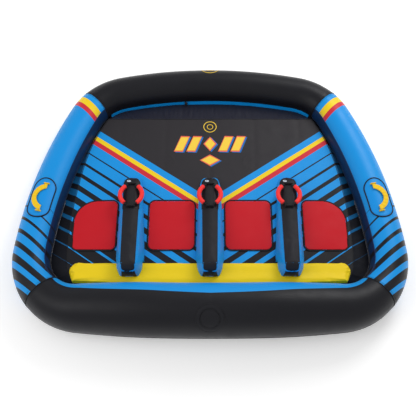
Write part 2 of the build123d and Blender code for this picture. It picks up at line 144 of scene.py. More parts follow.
def sweptMesh(points, normals, section, closed=False):
    # section(share) gives (across, upwards) pairs round the swept form
    rows = []
    for i, (point, normal, tangent) in enumerate(zip(points, normals, tangents(points, closed))):
        across = tangent.cross(normal).normalized()
        above = across.cross(tangent).normalized()
        rows.append([point + across * a + above * b for a, b in section(i / max(len(points) - 1, 1))])
    mesh = gridMesh(rows, closed, True)
    if not closed:
        capEnds(mesh, len(rows), len(rows[0]))
    return outward(mesh)


def capEnds(mesh, rows, width):
    work = bmesh.new()
    work.from_mesh(mesh)
    work.verts.ensure_lookup_table()
    work.faces.new([work.verts[i] for i in range(width)])
    work.faces.new([work.verts[(rows - 1) * width + i] for i in range(width)])
    work.to_mesh(mesh)
    work.free()


def roundSection(radius, sides=8):
    ring = [(cos(2 * pi * i / sides), sin(2 * pi * i / sides)) for i in range(sides)]
    return lambda share: [(radius * a, radius * b) for a, b in ring]


def flatSection(width, thick):
    # a strap's section: flat faces with rolled edges
    edge = thick / 2
    half = width / 2 - edge
    ring = [(half + edge * cos(t), edge * sin(t)) for t in (-1.57, -0.78, 0, 0.78, 1.57)]
    ring += [(half * s, edge) for s in (0.5, 0, -0.5)]
    ring += [(-half - edge * cos(t), edge * sin(t)) for t in (1.57, 0.78, 0, -0.78, -1.57)]
    ring += [(half * s, -edge) for s in (-0.5, 0, 0.5)]
    return lambda share: ring


def stitchMesh(points, normals, pitch=0.009, length=0.006, thick=0.0009):
    # one short raised dash of thread for each stitch
    total = sum((b - a).length for a, b in zip(points, points[1:]))
    count = max(int(total / pitch), 2)
    spots = evenly(points, count)
    facing = evenly(normals, count)
    lines = tangents(spots, False)
    verts, faces = [], []
    for spot, normal, line in zip(spots, facing, lines):
        normal = normal.normalized()
        across = line.cross(normal).normalized() * thick
        ends = [spot + line * (length / 2) * s for s in (-1, 1)]
        first = len(verts)
        for end in ends:
            verts += [end + across, end + normal * thick, end - across]
        for corners in ((0, 3, 4, 1), (1, 4, 5, 2), (0, 1, 2), (3, 5, 4), (0, 2, 5, 3)):
            faces.append(tuple(first + corner for corner in corners))
    return meshFrom(verts, faces)


def outerSkin(node):
    # the outside of a CAD node, as a mesh to work on
    work = bmesh.new()
    work.from_mesh(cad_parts[node].data)
    bmesh.ops.remove_doubles(work, verts=work.verts, dist=1e-5)
    unseen, islands = set(work.verts), []
    while unseen:
        waiting = [unseen.pop()]
        island = set(waiting)
        while waiting:
            for edge in waiting.pop().link_edges:
                for vert in edge.verts:
                    if vert in unseen:
                        unseen.discard(vert)
                        island.add(vert)
                        waiting.append(vert)
        islands.append(island)
    widest = max(islands, key=lambda i: max(v.co.x for v in i) - min(v.co.x for v in i))
    bmesh.ops.delete(work, geom=[v for v in work.verts if v not in widest], context="VERTS")
    mesh = bpy.data.meshes.new("skin")
    work.to_mesh(mesh)
    work.free()
    return mesh


def remeshed(mesh, voxel, smoothing=2, shrink=0.0):
    carrier = bpy.data.objects.new("carrier", mesh)
    scene.collection.objects.link(carrier)
    remesh = carrier.modifiers.new("even", "REMESH")
    remesh.mode = "VOXEL"
    remesh.voxel_size = voxel
    graph = bpy.context.evaluated_depsgraph_get()
    made = bpy.data.meshes.new_from_object(carrier.evaluated_get(graph))
    bpy.data.objects.remove(carrier)
    work = bmesh.new()
    work.from_mesh(made)
    for _ in range(smoothing):
        bmesh.ops.smooth_vert(work, verts=work.verts, factor=0.5, use_axis_x=True, use_axis_y=True,
                              use_axis_z=True)
    if shrink:
        work.normal_update()
        for vert in work.verts:
            vert.co -= vert.normal * shrink
    work.to_mesh(made)
    work.free()
    return made


def rumpled(mesh, amount, size, seed=0.0):
    # soft unevenness along the surface's own normals
    normals = [v.normal.copy() for v in mesh.vertices]
    for vert, normal in zip(mesh.vertices, normals):
        spot = vert.co / size + Vector((seed, seed * 1.7, seed * 0.6))
        vert.co += normal * (amount * noise.noise(spot))
    mesh.update()
    return mesh


def outlineOf(node, count, grow=0.0):
    # the plan outline of a CAD node whose plan is convex
    flat = [(v.co.x, v.co.y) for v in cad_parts[node].data.vertices]
    hull = [Vector((*flat[i], 0)) for i in geometry.convex_hull_2d(flat)]
    line = evenly(hull, count, True)
    if not grow:
        return line
    ahead = tangents(line, True)
    middle = sum(line, Vector()) / len(line)
    grown = []
    for point, tangent in zip(line, ahead):
        side = tangent.cross(up)
        grown.append(point + side * (grow if side.dot(point - middle) > 0 else -grow))
    return grown


# small tools for materials
def tint(red, green, blue):
    def linear(value):
        share = value / 255
        return share / 12.92 if share <= 0.04045 else ((share + 0.055) / 1.055) ** 2.4
    return (linear(red), linear(green), linear(blue), 1.0)


def plug(tree, socket, value):
    if isinstance(value, bpy.types.NodeSocket):
        tree.links.new(value, socket)
    else:
        socket.default_value = value


def calc(tree, operation, *values):
    step = tree.nodes.new("ShaderNodeMath")
    step.operation = operation
    for socket, value in zip(step.inputs, values):
        plug(tree, socket, value)
    return step.outputs[0]


def between(tree, value, low, high):
    above, below = calc(tree, "GREATER_THAN", value, low), calc(tree, "LESS_THAN", value, high)
    return calc(tree, "MULTIPLY", above, below)


def painted(tree, under, mask, over):
    blend = tree.nodes.new("ShaderNodeMix")
    blend.data_type = "RGBA"
    plug(tree, blend.inputs[0], mask)
    plug(tree, blend.inputs[6], under)
    plug(tree, blend.inputs[7], over)
    return blend.outputs[2]


def place(tree, which="Object"):
    return tree.nodes.new("ShaderNodeTexCoord").outputs[which]


def parts(tree, vector):
    split = tree.nodes.new("ShaderNodeSeparateXYZ")
    tree.links.new(vector, split.inputs[0])
    return split.outputs[0], split.outputs[1], split.outputs[2]


def cloudy(tree, scale, detail=3.0, where=None):
    cloud = tree.nodes.new("ShaderNodeTexNoise")
    cloud.inputs["Scale"].default_value = scale
    cloud.inputs["Detail"].default_value = detail
    tree.links.new(where or place(tree), cloud.inputs["Vector"])
    return cloud.outputs[0]


def weaveHeight(tree, pitch):
    # two crossed sets of threads that follow any surface
    x, y, z = parts(tree, place(tree))
    lean = calc(tree, "MULTIPLY", z, 0.71)
    turns = 2 * pi / pitch
    warp = calc(tree, "SINE", calc(tree, "MULTIPLY", calc(tree, "ADD", x, lean), turns))
    weft = calc(tree, "SINE", calc(tree, "MULTIPLY", calc(tree, "ADD", y, lean), turns))
    return calc(tree, "MULTIPLY", warp, weft)


def clothMaterial(name, colour, rough=0.5, weave=0.0016, weaveDepth=0.25, sheen=0.05, fade=0.12,
                  pattern=None, wrinkle=0.0, wrinkleSize=30.0):
    # woven or laminated cloth: threads, a little fading and uneven gloss
    material = bpy.data.materials.new(name)
    material.use_nodes = True
    tree = material.node_tree
    shader = tree.nodes["Principled BSDF"]
    shader.inputs["Sheen Weight"].default_value = sheen
    shader.inputs["Sheen Roughness"].default_value = 0.4
    shader.inputs["Specular IOR Level"].default_value = 0.28
    base = pattern(tree) if pattern else colour
    worn = cloudy(tree, 3.5, 4.0)
    dull = calc(tree, "MULTIPLY", worn, fade)
    shaded = painted(tree, base, dull, tint(70, 74, 82))
    plug(tree, shader.inputs["Base Color"], shaded)
    gloss = calc(tree, "MULTIPLY_ADD", cloudy(tree, 14.0), 0.22, rough - 0.11)
    plug(tree, shader.inputs["Roughness"], gloss)
    height = calc(tree, "MULTIPLY", weaveHeight(tree, weave), weaveDepth)
    if wrinkle:
        folds = cloudy(tree, wrinkleSize, 2.0)
        height = calc(tree, "MULTIPLY_ADD", folds, wrinkle, height)
    bump = tree.nodes.new("ShaderNodeBump")
    bump.inputs["Strength"].default_value = 0.35
    bump.inputs["Distance"].default_value = 0.0008
    tree.links.new(height, bump.inputs["Height"])
    tree.links.new(bump.outputs[0], shader.inputs["Normal"])
    return material


colours = {
    "blue": tint(0, 150, 230),
    "deepBlue": tint(0, 40, 80),
    "black": tint(10, 10, 18),
    "charcoal": tint(40, 37, 41),
    "yellow": tint(250, 214, 24),
    "bandRed": tint(212, 40, 56),
    "padRed": tint(202, 4, 26),
    "gripRed": tint(255, 52, 50),
    "bolsterYellow": tint(250, 214, 8),
    "coral": tint(240, 110, 80),
}


# the ring's centre line, as in the CAD
ring = {
    "frontCentreY": 0.932,
    "arcs": ((3.1, 12.35), (0.392, 53.2), (3.26, 20.7), (0.38, 90.6)),   # bend radius, turn
    "tubeRadius": 0.1275,
    "rearTubeRadius": 0.18,
    "frontSeamAt": 1.66,
    "rearSeamAt": 3.52,
    "rearMiddle": 5.0,
    "growFrom": 3.16,       # the tube widens from here on
    "growOver": 1.44,
    "step": 0.012,          # spacing of the mesh rings along the tube
    "around": 96,
}


def smoothStep(t):
    t = min(max(t, 0.0), 1.0)
    return t * t * (3 - 2 * t)


def tubeRadius(at):
    wider = ring["rearTubeRadius"] - ring["tubeRadius"]
    return ring["tubeRadius"] + wider * smoothStep((at - ring["growFrom"]) / ring["growOver"])


def ringAt(at, side=1):
    x, y, heading = 0.0, ring["frontCentreY"], 0.0
    turned = sum(turn for _, turn in ring["arcs"])
    for number, (bend, turn) in enumerate(ring["arcs"] + ((None, 180 - turned),)):
        bend = bend or x / sin(radians(turn))
        share = min(max(at - number, 0.0), 1.0)
        ahead = heading + radians(turn) * share
        x += bend * (sin(ahead) - sin(heading))
        y += bend * (cos(ahead) - cos(heading))
        heading = ahead
    return x * side, y, heading


def arcLengths():
    lengths = [bend * radians(turn) for bend, turn in ring["arcs"]]
    x, _, _ = ringAt(4.0)
    last = radians(180 - sum(turn for _, turn in ring["arcs"]))
    return lengths + [x / sin(last) * last]


lengths = arcLengths()


def runTo(at):
    whole = min(int(at), 4)
    return sum(lengths[:whole]) + lengths[whole] * (at - whole)


def radial(at, angle, side=1):
    # 0 degrees faces into the boat, 90 is the tube's top
    _, _, heading = ringAt(at, side)
    inward = Vector((-side * sin(heading), -cos(heading), 0))
    return inward * cos(radians(angle)) + up * sin(radians(angle))


def onTube(at, angle, lift=0.0, side=1):
    x, y, _ = ringAt(at, side)
    r = tubeRadius(at)
    return Vector((x, y, r)) + radial(at, angle, side) * (r + lift)


def angleAtHeight(at, z):
    r = tubeRadius(at)
    return degrees(asin(max(-1.0, min(1.0, (z - r) / r))))


def placesBetween(start, end, step):
    count = max(int((runTo(end) - runTo(start)) / step), 2)
    places, at = [], start
    for i in range(count + 1):
        want = runTo(start) + (runTo(end) - runTo(start)) * i / count
        whole = 0
        while whole < 4 and want > sum(lengths[:whole + 1]) + 1e-9:
            whole += 1
        places.append(whole + (want - sum(lengths[:whole])) / lengths[whole])
    return places


def bothSides(start, end, step):
    # from the left over the middle to the right
    run = placesBetween(start, end, step)
    if start > 0:           # a run that starts at a corner has its middle at the rear
        run.reverse()
    return [(at, -1) for at in reversed(run)] + [(at, 1) for at in run[1:]]


# printed patterns
deckPrint = {
    "slope": 0.70,          # how fast the chevron runs back from the sides to the middle
    "charcoalFrom": -0.062,
    "yellowFrom": -0.123,
    "redFrom": -0.163,
    "redTo": -0.208,
    "firstStripe": -0.306,
    "pitch": 0.1098,
    "stripeStart": 0.006,
    "stripeGrowth": 0.0059,
}


def stripes(tree, value, first, pitch, start, growth):
    # black stripes that thicken one after another
    count = calc(tree, "DIVIDE", calc(tree, "SUBTRACT", first, value), pitch)
    number = calc(tree, "ROUND", count)
    away = calc(tree, "MULTIPLY", calc(tree, "ABSOLUTE", calc(tree, "SUBTRACT", count, number)), pitch)
    half = calc(tree, "MULTIPLY_ADD", number, growth, start)
    inside = calc(tree, "LESS_THAN", away, half)
    return calc(tree, "MULTIPLY", inside, calc(tree, "GREATER_THAN", count, -0.45))


def deckPattern(tree):
    x, y, _ = parts(tree, place(tree))
    back = calc(tree, "MULTIPLY", calc(tree, "ABSOLUTE", x), -deckPrint["slope"])
    p = calc(tree, "ADD", y, back)
    lines = stripes(tree, p, deckPrint["firstStripe"], deckPrint["pitch"], deckPrint["stripeStart"],
                    deckPrint["stripeGrowth"])
    paint = painted(tree, colours["blue"], lines, colours["black"])
    red = between(tree, p, deckPrint["redTo"], deckPrint["redFrom"])
    paint = painted(tree, paint, red, colours["bandRed"])
    yellow = between(tree, p, deckPrint["redFrom"], deckPrint["yellowFrom"])
    paint = painted(tree, paint, yellow, colours["yellow"])
    charcoal = calc(tree, "GREATER_THAN", p, deckPrint["charcoalFrom"])
    return painted(tree, paint, charcoal, colours["charcoal"])


def gussetPrintInPaintedShade(tree):
    # the deck's print carried on, darkened toward navy as painted shade under the tube's overhang
    return painted(tree, deckPattern(tree), 0.62, tint(8, 12, 24))


sidePrint = {
    "blueTo": 0.050,        # bands along the front seam
    "yellowTo": 0.100,
    "redTo": 0.137,
    "slope": 0.82,
    "firstStripe": -1.114,
    "pitch": 0.1050,
    "stripeStart": 0.0020,
    "stripeGrowth": 0.0050,
    "darkBelow": 34,        # the inner face is darker below this angle on the tube
    "markLow": 158,         # block marks round the outside
    "markHigh": 186,
    "markFrom": 0.42,
    "markTo": 1.16,
    "markPitch": 0.155,
    "markLean": 0.9,
    "markRim": 0.006,
    "markEdge": (0.14, 0.72),       # share of the pitch: red edge, yellow core
    "markCore": (0.19, 0.67),
}


def sidePattern(tree):
    x, y, _ = parts(tree, place(tree))
    run, turn, _ = parts(tree, place(tree, "UV"))
    reach = calc(tree, "ABSOLUTE", x)
    seamX, seamY, heading = ringAt(ring["frontSeamAt"])
    off = seamX * cos(heading) - seamY * sin(heading)
    across = calc(tree, "MULTIPLY", reach, cos(heading))
    along = calc(tree, "MULTIPLY", y, sin(heading))
    fromSeam = calc(tree, "SUBTRACT", calc(tree, "SUBTRACT", across, along), off)
    q = calc(tree, "SUBTRACT", y, calc(tree, "MULTIPLY", reach, sidePrint["slope"]))
    lines = stripes(tree, q, sidePrint["firstStripe"], sidePrint["pitch"], sidePrint["stripeStart"],
                    sidePrint["stripeGrowth"])
    paint = painted(tree, colours["blue"], lines, colours["black"])
    # generic block marks low on the outside
    lean = calc(tree, "MULTIPLY_ADD", turn, sidePrint["markLean"], run)
    cell = calc(tree, "FRACT", calc(tree, "DIVIDE", lean, sidePrint["markPitch"]))
    stretch = between(tree, run, sidePrint["markFrom"], sidePrint["markTo"])
    low, high = sidePrint["markLow"] / 360, sidePrint["markHigh"] / 360
    rim = sidePrint["markRim"]
    edge = calc(tree, "MULTIPLY", between(tree, turn, low - rim, high + rim),
                between(tree, cell, *sidePrint["markEdge"]))
    core = calc(tree, "MULTIPLY", between(tree, turn, low, high), between(tree, cell, *sidePrint["markCore"]))
    paint = painted(tree, paint, calc(tree, "MULTIPLY", edge, stretch), colours["bandRed"])
    paint = painted(tree, paint, calc(tree, "MULTIPLY", core, stretch), colours["yellow"])
    for limit, colour in (("redTo", "bandRed"), ("yellowTo", "yellow"), ("blueTo", "blue")):
        band = calc(tree, "LESS_THAN", fromSeam, sidePrint[limit])
        paint = painted(tree, paint, band, colours[colour])
    inside = calc(tree, "LESS_THAN", turn, sidePrint["darkBelow"] / 360)
    dark = painted(tree, colours["deepBlue"], lines, colours["black"])
    return painted(tree, paint, inside, dark)


rearPrint = {
    "middleAngle": 72,      # upper edge of the blue inner band
    "cornerAngle": 36,
    "riseShape": 0.45,
    "wave": 0.016,
}


def rearPattern(tree):
    run, turn, _ = parts(tree, place(tree, "UV"))
    seam, middle = runTo(ring["rearSeamAt"]), runTo(ring["rearMiddle"])
    share = calc(tree, "DIVIDE", calc(tree, "SUBTRACT", run, seam), middle - seam)
    rise = calc(tree, "POWER", share, rearPrint["riseShape"])
    span = (rearPrint["middleAngle"] - rearPrint["cornerAngle"]) / 360
    wavy = calc(tree, "MULTIPLY", calc(tree, "SUBTRACT", cloudy(tree, 2.2, 1.0), 0.5), rearPrint["wave"])
    smooth = calc(tree, "MULTIPLY_ADD", rise, span, rearPrint["cornerAngle"] / 360)
    edge = calc(tree, "ADD", smooth, wavy)
    return painted(tree, colours["black"], calc(tree, "LESS_THAN", turn, edge), colours["blue"])


frontCloth = clothMaterial("front cover cloth", colours["black"], rough=0.42, fade=0.03)
sideCloth = clothMaterial("side cover cloth", colours["blue"], rough=0.40, pattern=sidePattern,
                          fade=0.03)
rearCloth = clothMaterial("rear cover cloth", colours["black"], rough=0.42, pattern=rearPattern,
                          fade=0.03)
deckCloth = clothMaterial("deck cloth", colours["charcoal"], rough=0.55, pattern=deckPattern, fade=0.04,
                          weave=0.0022)
# the gussets under the tubes carry the deck print darkened by painted shade
gussetClothInPaintedShade = clothMaterial("gusset cloth with painted shade", colours["deepBlue"], rough=0.55,
                            pattern=gussetPrintInPaintedShade, fade=0.04, wrinkle=0.8)
plainGusset = clothMaterial("front gusset cloth", tint(30, 30, 44), rough=0.5, fade=0.05, wrinkle=0.8)
underCloth = clothMaterial("underside cloth", tint(24, 24, 28), rough=0.62, fade=0.12, weave=0.003)
blueCloth = clothMaterial("blue cover cloth", colours["blue"], rough=0.42, fade=0.03)
blueTrim = clothMaterial("blue trim cloth", tint(0, 148, 232), rough=0.42, fade=0.02)
blackCloth = clothMaterial("black cover cloth", colours["black"], rough=0.5, fade=0.06)
stripCloth = clothMaterial("black strip cloth", tint(19, 19, 27), rough=0.58, fade=0.06, weaveDepth=0.4)
yellowCloth = clothMaterial("yellow cover cloth", colours["bolsterYellow"], rough=0.5, fade=0.04,
                            wrinkle=0.9, wrinkleSize=22)
padCloth = clothMaterial("red stretch neoprene", colours["padRed"], rough=0.62, weave=0.0012,
                         weaveDepth=0.35, sheen=0.12, fade=0.02)
bindingCloth = clothMaterial("black binding tape", tint(18, 18, 22), rough=0.6, fade=0.05, weave=0.0012)
webbing = clothMaterial("black webbing", tint(20, 20, 24), rough=0.62, weave=0.0030, weaveDepth=0.9,
                        fade=0.05)
yellowWebbing = clothMaterial("yellow webbing", tint(252, 206, 24), rough=0.55, weave=0.0030,
                              weaveDepth=0.9, fade=0.03)
thread = clothMaterial("black thread", tint(34, 34, 42), rough=0.5, weave=0.0008, fade=0.03)
blueThread = clothMaterial("blue thread", tint(0, 110, 184), rough=0.5, weave=0.0008, fade=0.03)
foamGrip = clothMaterial("red foam sleeve", colours["gripRed"], rough=0.6, weave=0.0020, weaveDepth=0.3,
                         sheen=0.12, fade=0.02, wrinkle=1.2, wrinkleSize=60)
vinyl = clothMaterial("black bladder vinyl", tint(16, 16, 18), rough=0.28, weave=0.01, weaveDepth=0.02,
                      sheen=0.0, fade=0.08)


def loopPattern(tree):
    speckle = tree.nodes.new("ShaderNodeTexVoronoi")
    speckle.inputs["Scale"].default_value = 260.0
    tree.links.new(place(tree), speckle.inputs["Vector"])
    loops = calc(tree, "LESS_THAN", speckle.outputs[0], 0.38)
    return painted(tree, tint(58, 58, 66), loops, tint(190, 190, 200))


loopTape = clothMaterial("grey hook and loop tape", tint(120, 120, 128), rough=0.8, pattern=loopPattern,
                         weaveDepth=1.2, fade=0.05)


def hardMaterial(name, colour, rough, metal=0.0, scratch=90.0, grain=0.08, pattern=None):
    material = bpy.data.materials.new(name)
    material.use_nodes = True
    tree = material.node_tree
    shader = tree.nodes["Principled BSDF"]
    shader.inputs["Metallic"].default_value = metal
    wear = cloudy(tree, 6.0, 5.0)
    base = pattern(tree) if pattern else colour
    shade = painted(tree, base, calc(tree, "MULTIPLY", wear, 0.14), tint(120, 122, 126))
    plug(tree, shader.inputs["Base Color"], shade)
    marks = cloudy(tree, scratch, 6.0)
    plug(tree, shader.inputs["Roughness"], calc(tree, "MULTIPLY_ADD", marks, 0.25, rough - 0.12))
    bump = tree.nodes.new("ShaderNodeBump")
    bump.inputs["Strength"].default_value = grain
    bump.inputs["Distance"].default_value = 0.0004
    tree.links.new(marks, bump.inputs["Height"])
    tree.links.new(bump.outputs[0], shader.inputs["Normal"])
    return material


blackPlastic = hardMaterial("black moulded plastic", tint(22, 22, 25), 0.42, scratch=220.0, grain=0.2)
steel = hardMaterial("stainless steel", tint(196, 198, 202), 0.3, metal=1.0)
sliderPlastic = hardMaterial("zipper slider plastic", tint(30, 30, 34), 0.35, scratch=300.0)


def badgePattern(tree):
    # pale rim, dark middle: a plain raised button
    return painted(tree, tint(222, 228, 236), calc(tree, "LESS_THAN", cloudy(tree, 40.0, 1.0), 0.46),
                   tint(190, 200, 212))


badgeRubber = hardMaterial("moulded badge rubber", tint(222, 228, 236), 0.4, pattern=badgePattern)
badgeDark = hardMaterial("badge inlay", tint(34, 60, 92), 0.4)
printYellow = clothMaterial("yellow print", tint(255, 214, 70), rough=0.55, weave=0.0022, fade=0.03)
printCoral = clothMaterial("coral print", colours["coral"], rough=0.55, weave=0.0022, fade=0.03)
printBlue = clothMaterial("blue print", tint(20, 110, 190), rough=0.55, weave=0.0022, fade=0.03)
print("stage: materials made")


# tube covers
coverShape = {
    "softWave": 0.0011,     # slow unevenness of the tight cloth
    "seamPucker": 0.0020,
    "seamReach": 0.055,
    "seamDip": 0.0030,
    "weltRadius": 0.0032,
}


def coverSkin(stops, seamRuns):
    rows, uvs = [], []
    count = ring["around"]
    for at, side in stops:
        run, r, row, marks = runTo(at), tubeRadius(at), [], []
        near = min(abs(run - seam) for seam in seamRuns)
        for j in range(count + 1):
            angle = -90 + 360 * j / count
            turn = radians(angle)
            around = Vector((cos(turn), sin(turn), 0)) * 1.4
            slow = noise.noise(around * 1.1 + Vector((0, 0, run * 2.6 * side)))
            pucker = noise.noise(around * 9 + Vector((5, 3, run * 9)))
            lift = coverShape["softWave"] * slow
            lift += coverShape["seamPucker"] * pucker * exp(-near / coverShape["seamReach"])
            lift -= coverShape["seamDip"] * exp(-(near / 0.010) ** 2)
            lift -= 0.0006
            row.append(onTube(at, angle, lift, side))
            marks.append((run, angle / 360))
        rows.append(row)
        uvs += marks
    mesh = gridMesh(rows)
    layer = mesh.uv_layers.new(name="UVMap")
    for loop in mesh.loops:
        layer.data[loop.index].uv = uvs[loop.vertex_index]
    return mesh


def cutHatchHole(mesh, radius, depth):
    # opens a round hole for the valve and turns its edge inwards
    middle, facing = hatchPoint(0, 0, 0), radial(ring["rearMiddle"], hatch["angle"])

    def away(point):
        offset = point - middle
        return (offset - facing * offset.dot(facing)).length if offset.dot(facing) > -0.05 else 1.0
    work = bmesh.new()
    work.from_mesh(mesh)
    gone = [f for f in work.faces if away(f.calc_center_median()) < radius]
    bmesh.ops.delete(work, geom=gone, context="FACES")
    rim = [v for v in work.verts if v.is_boundary and away(v.co) < radius + 0.03]
    for vert in rim:
        offset = vert.co - middle
        flat = offset - facing * offset.dot(facing)
        vert.co += flat.normalized() * (radius - flat.length)
    edges = [e for e in work.edges
             if e.is_boundary and all(away(v.co) < radius + 0.001 for v in e.verts)]
    made = bmesh.ops.extrude_edge_only(work, edges=edges)
    for vert in (v for v in made["geom"] if isinstance(v, bmesh.types.BMVert)):
        vert.co -= facing * depth
    work.to_mesh(mesh)
    work.free()


hatch = {
    "angle": 127.0,         # on the tube, facing backwards and up
    "lidRadius": 0.061,
    "lidThick": 0.0042,
    "lidCrown": 0.0010,
    "lidTop": 0.0076,
    "lidWelt": (0.0590, 0.0066, 0.0020),        # radius, lift, thickness
    "holeRadius": 0.042,
    "holeDepth": 0.012,
    "rim": ((0.0625, 0.0004), (0.0632, 0.0036), (0.067, 0.0046), (0.078, 0.0048), (0.088, 0.0044),
            (0.0915, 0.0030), (0.0928, 0.0002)),        # radius and lift
    "rimWelt": (0.0905, 0.0036, 0.0022),
    "neck": ((0.058, -0.0050), (0.050, -0.0052), (0.040, -0.0060), (0.032, -0.0090),
             (0.0262, -0.0180), (0.0255, -0.030)),
}


def hatchPoint(across, rise, lift):
    # a point over the rear tube, measured from the hatch's middle
    at = ring["rearMiddle"] - abs(across) / lengths[4]
    angle = hatch["angle"] - degrees(asin(max(-1, min(1, rise / tubeRadius(at)))))
    return onTube(at, angle, lift, 1 if across >= 0 else -1)


frontSeam, rearSeam = runTo(ring["frontSeamAt"]), runTo(ring["rearSeamAt"])
frontMesh = coverSkin(bothSides(0, ring["frontSeamAt"], ring["step"]), (frontSeam,))
addPiece("frontTubeCover", outward(frontMesh), [frontCloth],
         nodes=["front_tube_cover", "main_tube_bladder"])
for side, word in ((-1, "left"), (1, "right")):
    stops = [(at, side) for at in placesBetween(ring["frontSeamAt"], ring["rearSeamAt"], ring["step"])]
    skin = coverSkin(stops, (frontSeam, rearSeam))
    layer = skin.uv_layers["UVMap"]
    for loop in skin.loops:
        layer.data[loop.index].uv.x -= frontSeam
    addPiece(word + "TubeCover", outward(skin), [sideCloth], nodes=[word + "_tube_cover"])
rearStops = bothSides(ring["rearSeamAt"], ring["rearMiddle"], ring["step"] * 0.8)
rearMesh = outward(coverSkin(rearStops, (rearSeam,)))
cutHatchHole(rearMesh, hatch["holeRadius"], hatch["holeDepth"])
addPiece("rearTubeCover", rearMesh, [rearCloth], nodes=["rear_tube_cover"])


def lineOnTube(places, angleOf, lift):
    points = [onTube(at, angleOf(at), lift, side) for at, side in places]
    normals = [radial(at, angleOf(at), side) for at, side in places]
    return points, normals


def seamRing(at, side, lift, count=72):
    points = [onTube(at, 360 * i / count, lift, side) for i in range(count)]
    normals = [radial(at, 360 * i / count, side) for i in range(count)]
    return points, normals


welts, stitches, blueStitches = [], [], []
for at in (ring["frontSeamAt"], ring["rearSeamAt"]):
    for side in (-1, 1):
        points, normals = seamRing(at, side, -0.0020)
        welts.append(sweptMesh(points, normals, roundSection(coverShape["weltRadius"]), True))
        for beside in (-0.012, 0.012):
            where = at + beside / lengths[int(at)]
            points, normals = seamRing(where, side, 0.0004, 140)
            stitches.append(stitchMesh(points + points[:1], normals + normals[:1]))
addPiece("tubeSeamWelts", joinMeshes(welts), [bindingCloth])
addPiece("tubeSeamStitches", joinMeshes(stitches), [thread])

# the long seams: on the inner face of the side tubes, and low on the outside all round
longSeam = {"sideAngle": 34, "outerAngle": 196, "radius": 0.0026}
long = []
for side in (-1, 1):
    stops = [(at, side) for at in placesBetween(ring["frontSeamAt"], ring["rearSeamAt"], 0.03)]
    for angle in (longSeam["sideAngle"], longSeam["outerAngle"]):
        points, normals = lineOnTube(stops, lambda at: angle, 0.0)
        long.append(sweptMesh(points, normals, roundSection(longSeam["radius"], 6)))
        points, normals = lineOnTube(stops, lambda at: angle + 5, 0.0004)
        blueStitches.append(stitchMesh(points, normals, pitch=0.010))
addPiece("sideLongSeams", joinMeshes(long), [clothMaterial("dark blue seam tape", tint(0, 52, 104))])
addPiece("sideSeamStitches", joinMeshes(blueStitches), [blueThread])
long = []
for start, end in ((0, ring["frontSeamAt"]), (ring["rearSeamAt"], ring["rearMiddle"])):
    points, normals = lineOnTube(bothSides(start, end, 0.03), lambda at: longSeam["outerAngle"], 0.0)
    long.append(sweptMesh(points, normals, roundSection(longSeam["radius"], 6)))
addPiece("blackLongSeams", joinMeshes(long), [bindingCloth])
print("stage: tubes covered")


# deck, underside and gussets
deck = {
    "top": 0.120,
    "rollDepth": 0.010,
    "softness": 0.0012,
    "cells": 6,
    "cellDepth": 0.0016,
    "footHeight": 0.080,
    "drainRing": 0.057,
    "drains": ((-0.320, 0.248), (0.300, 0.240)),
}


def deckHeight(x, y):
    soft = deck["softness"] * noise.noise(Vector((x * 2.2, y * 2.2, 4)))
    cell = 2.0 / deck["cells"]
    beside = abs(((x + 1.0) / cell + 0.5) % 1 - 0.5) * cell
    groove = deck["cellDepth"] * exp(-(beside / 0.016) ** 2)
    bump = 0.0
    for drainX, drainY in deck["drains"]:
        away = hypot(x - drainX, y - drainY)
        bump += 0.0016 * exp(-((away - deck["drainRing"]) / 0.005) ** 2)
    return deck["top"] + soft - groove + bump


def makeDeck():
    edge = outlineOf("deck_cover", 360)
    middle = Vector((0, -0.05, 0))
    rows = []
    for share in [i / 46 for i in range(1, 47)]:
        row = []
        for point in edge:
            spot = middle.lerp(point, share ** 0.85)
            row.append(Vector((spot.x, spot.y, deckHeight(spot.x, spot.y))))
        rows.append(row)
    for step in (0.25, 0.6, 1.0):
        turn = step * pi / 2
        drop = deck["rollDepth"] * (1 - cos(turn))
        inward = 0.002 * (1 - sin(turn))
        rows.append([p - (p - middle).normalized() * inward - up * drop for p in rows[45]])
    points = [p for row in rows for p in row] + [middle + up * deckHeight(0, -0.05)]
    faces = gridFaces(len(rows), len(edge), False, True)
    hub = len(points) - 1
    faces += [(hub, i, (i + 1) % len(edge)) for i in range(len(edge))]
    return outward(meshFrom(points, faces))


addPiece("deckCover", makeDeck(), [deckCloth], nodes=["deck_cover", "floor_bladder", "floor_valves"])
edge = outlineOf("deck_cover", 360, -0.004)
rim = [Vector((p.x, p.y, deck["top"] - 0.0008)) for p in edge]
piping = sweptMesh(rim, [up] * len(rim), roundSection(0.0026, 6), True)
addPiece("deckEdgePiping", piping, [bindingCloth])

gusset = {
    "front": {1.0: 1.75, 0.85: 1.2, 0.6: 0.72, 0.2: 0.23, 0.0: 0.0},     # share of the deck: ring place
    "rear": {1.0: 3.8, 0.7: 4.3, 0.35: 4.65, 0.1: 4.9, 0.0: 5.0},
    "side": (1.75, 2.23, 2.52, 2.72, 2.9, 3.14, 3.4),
    "sideDeck": ((0.772, 0.632), (0.893, 0.350), (0.955, 0.036), (0.980, -0.192), (0.988, -0.410),
                 (0.981, -0.560), (0.960, -0.645)),
    "corner": (0.772, 0.632),
    "rearCorner": (0.905, -0.712),
    "frontY": 0.628,
    "rearY": -0.738,
    "wrinkle": 0.0030,
    "sag": 0.004,
    "gap": 0.0015,
}


def ringInner(at, side, z, clear=0.001):
    return onTube(at, angleAtHeight(at, z), clear, side)


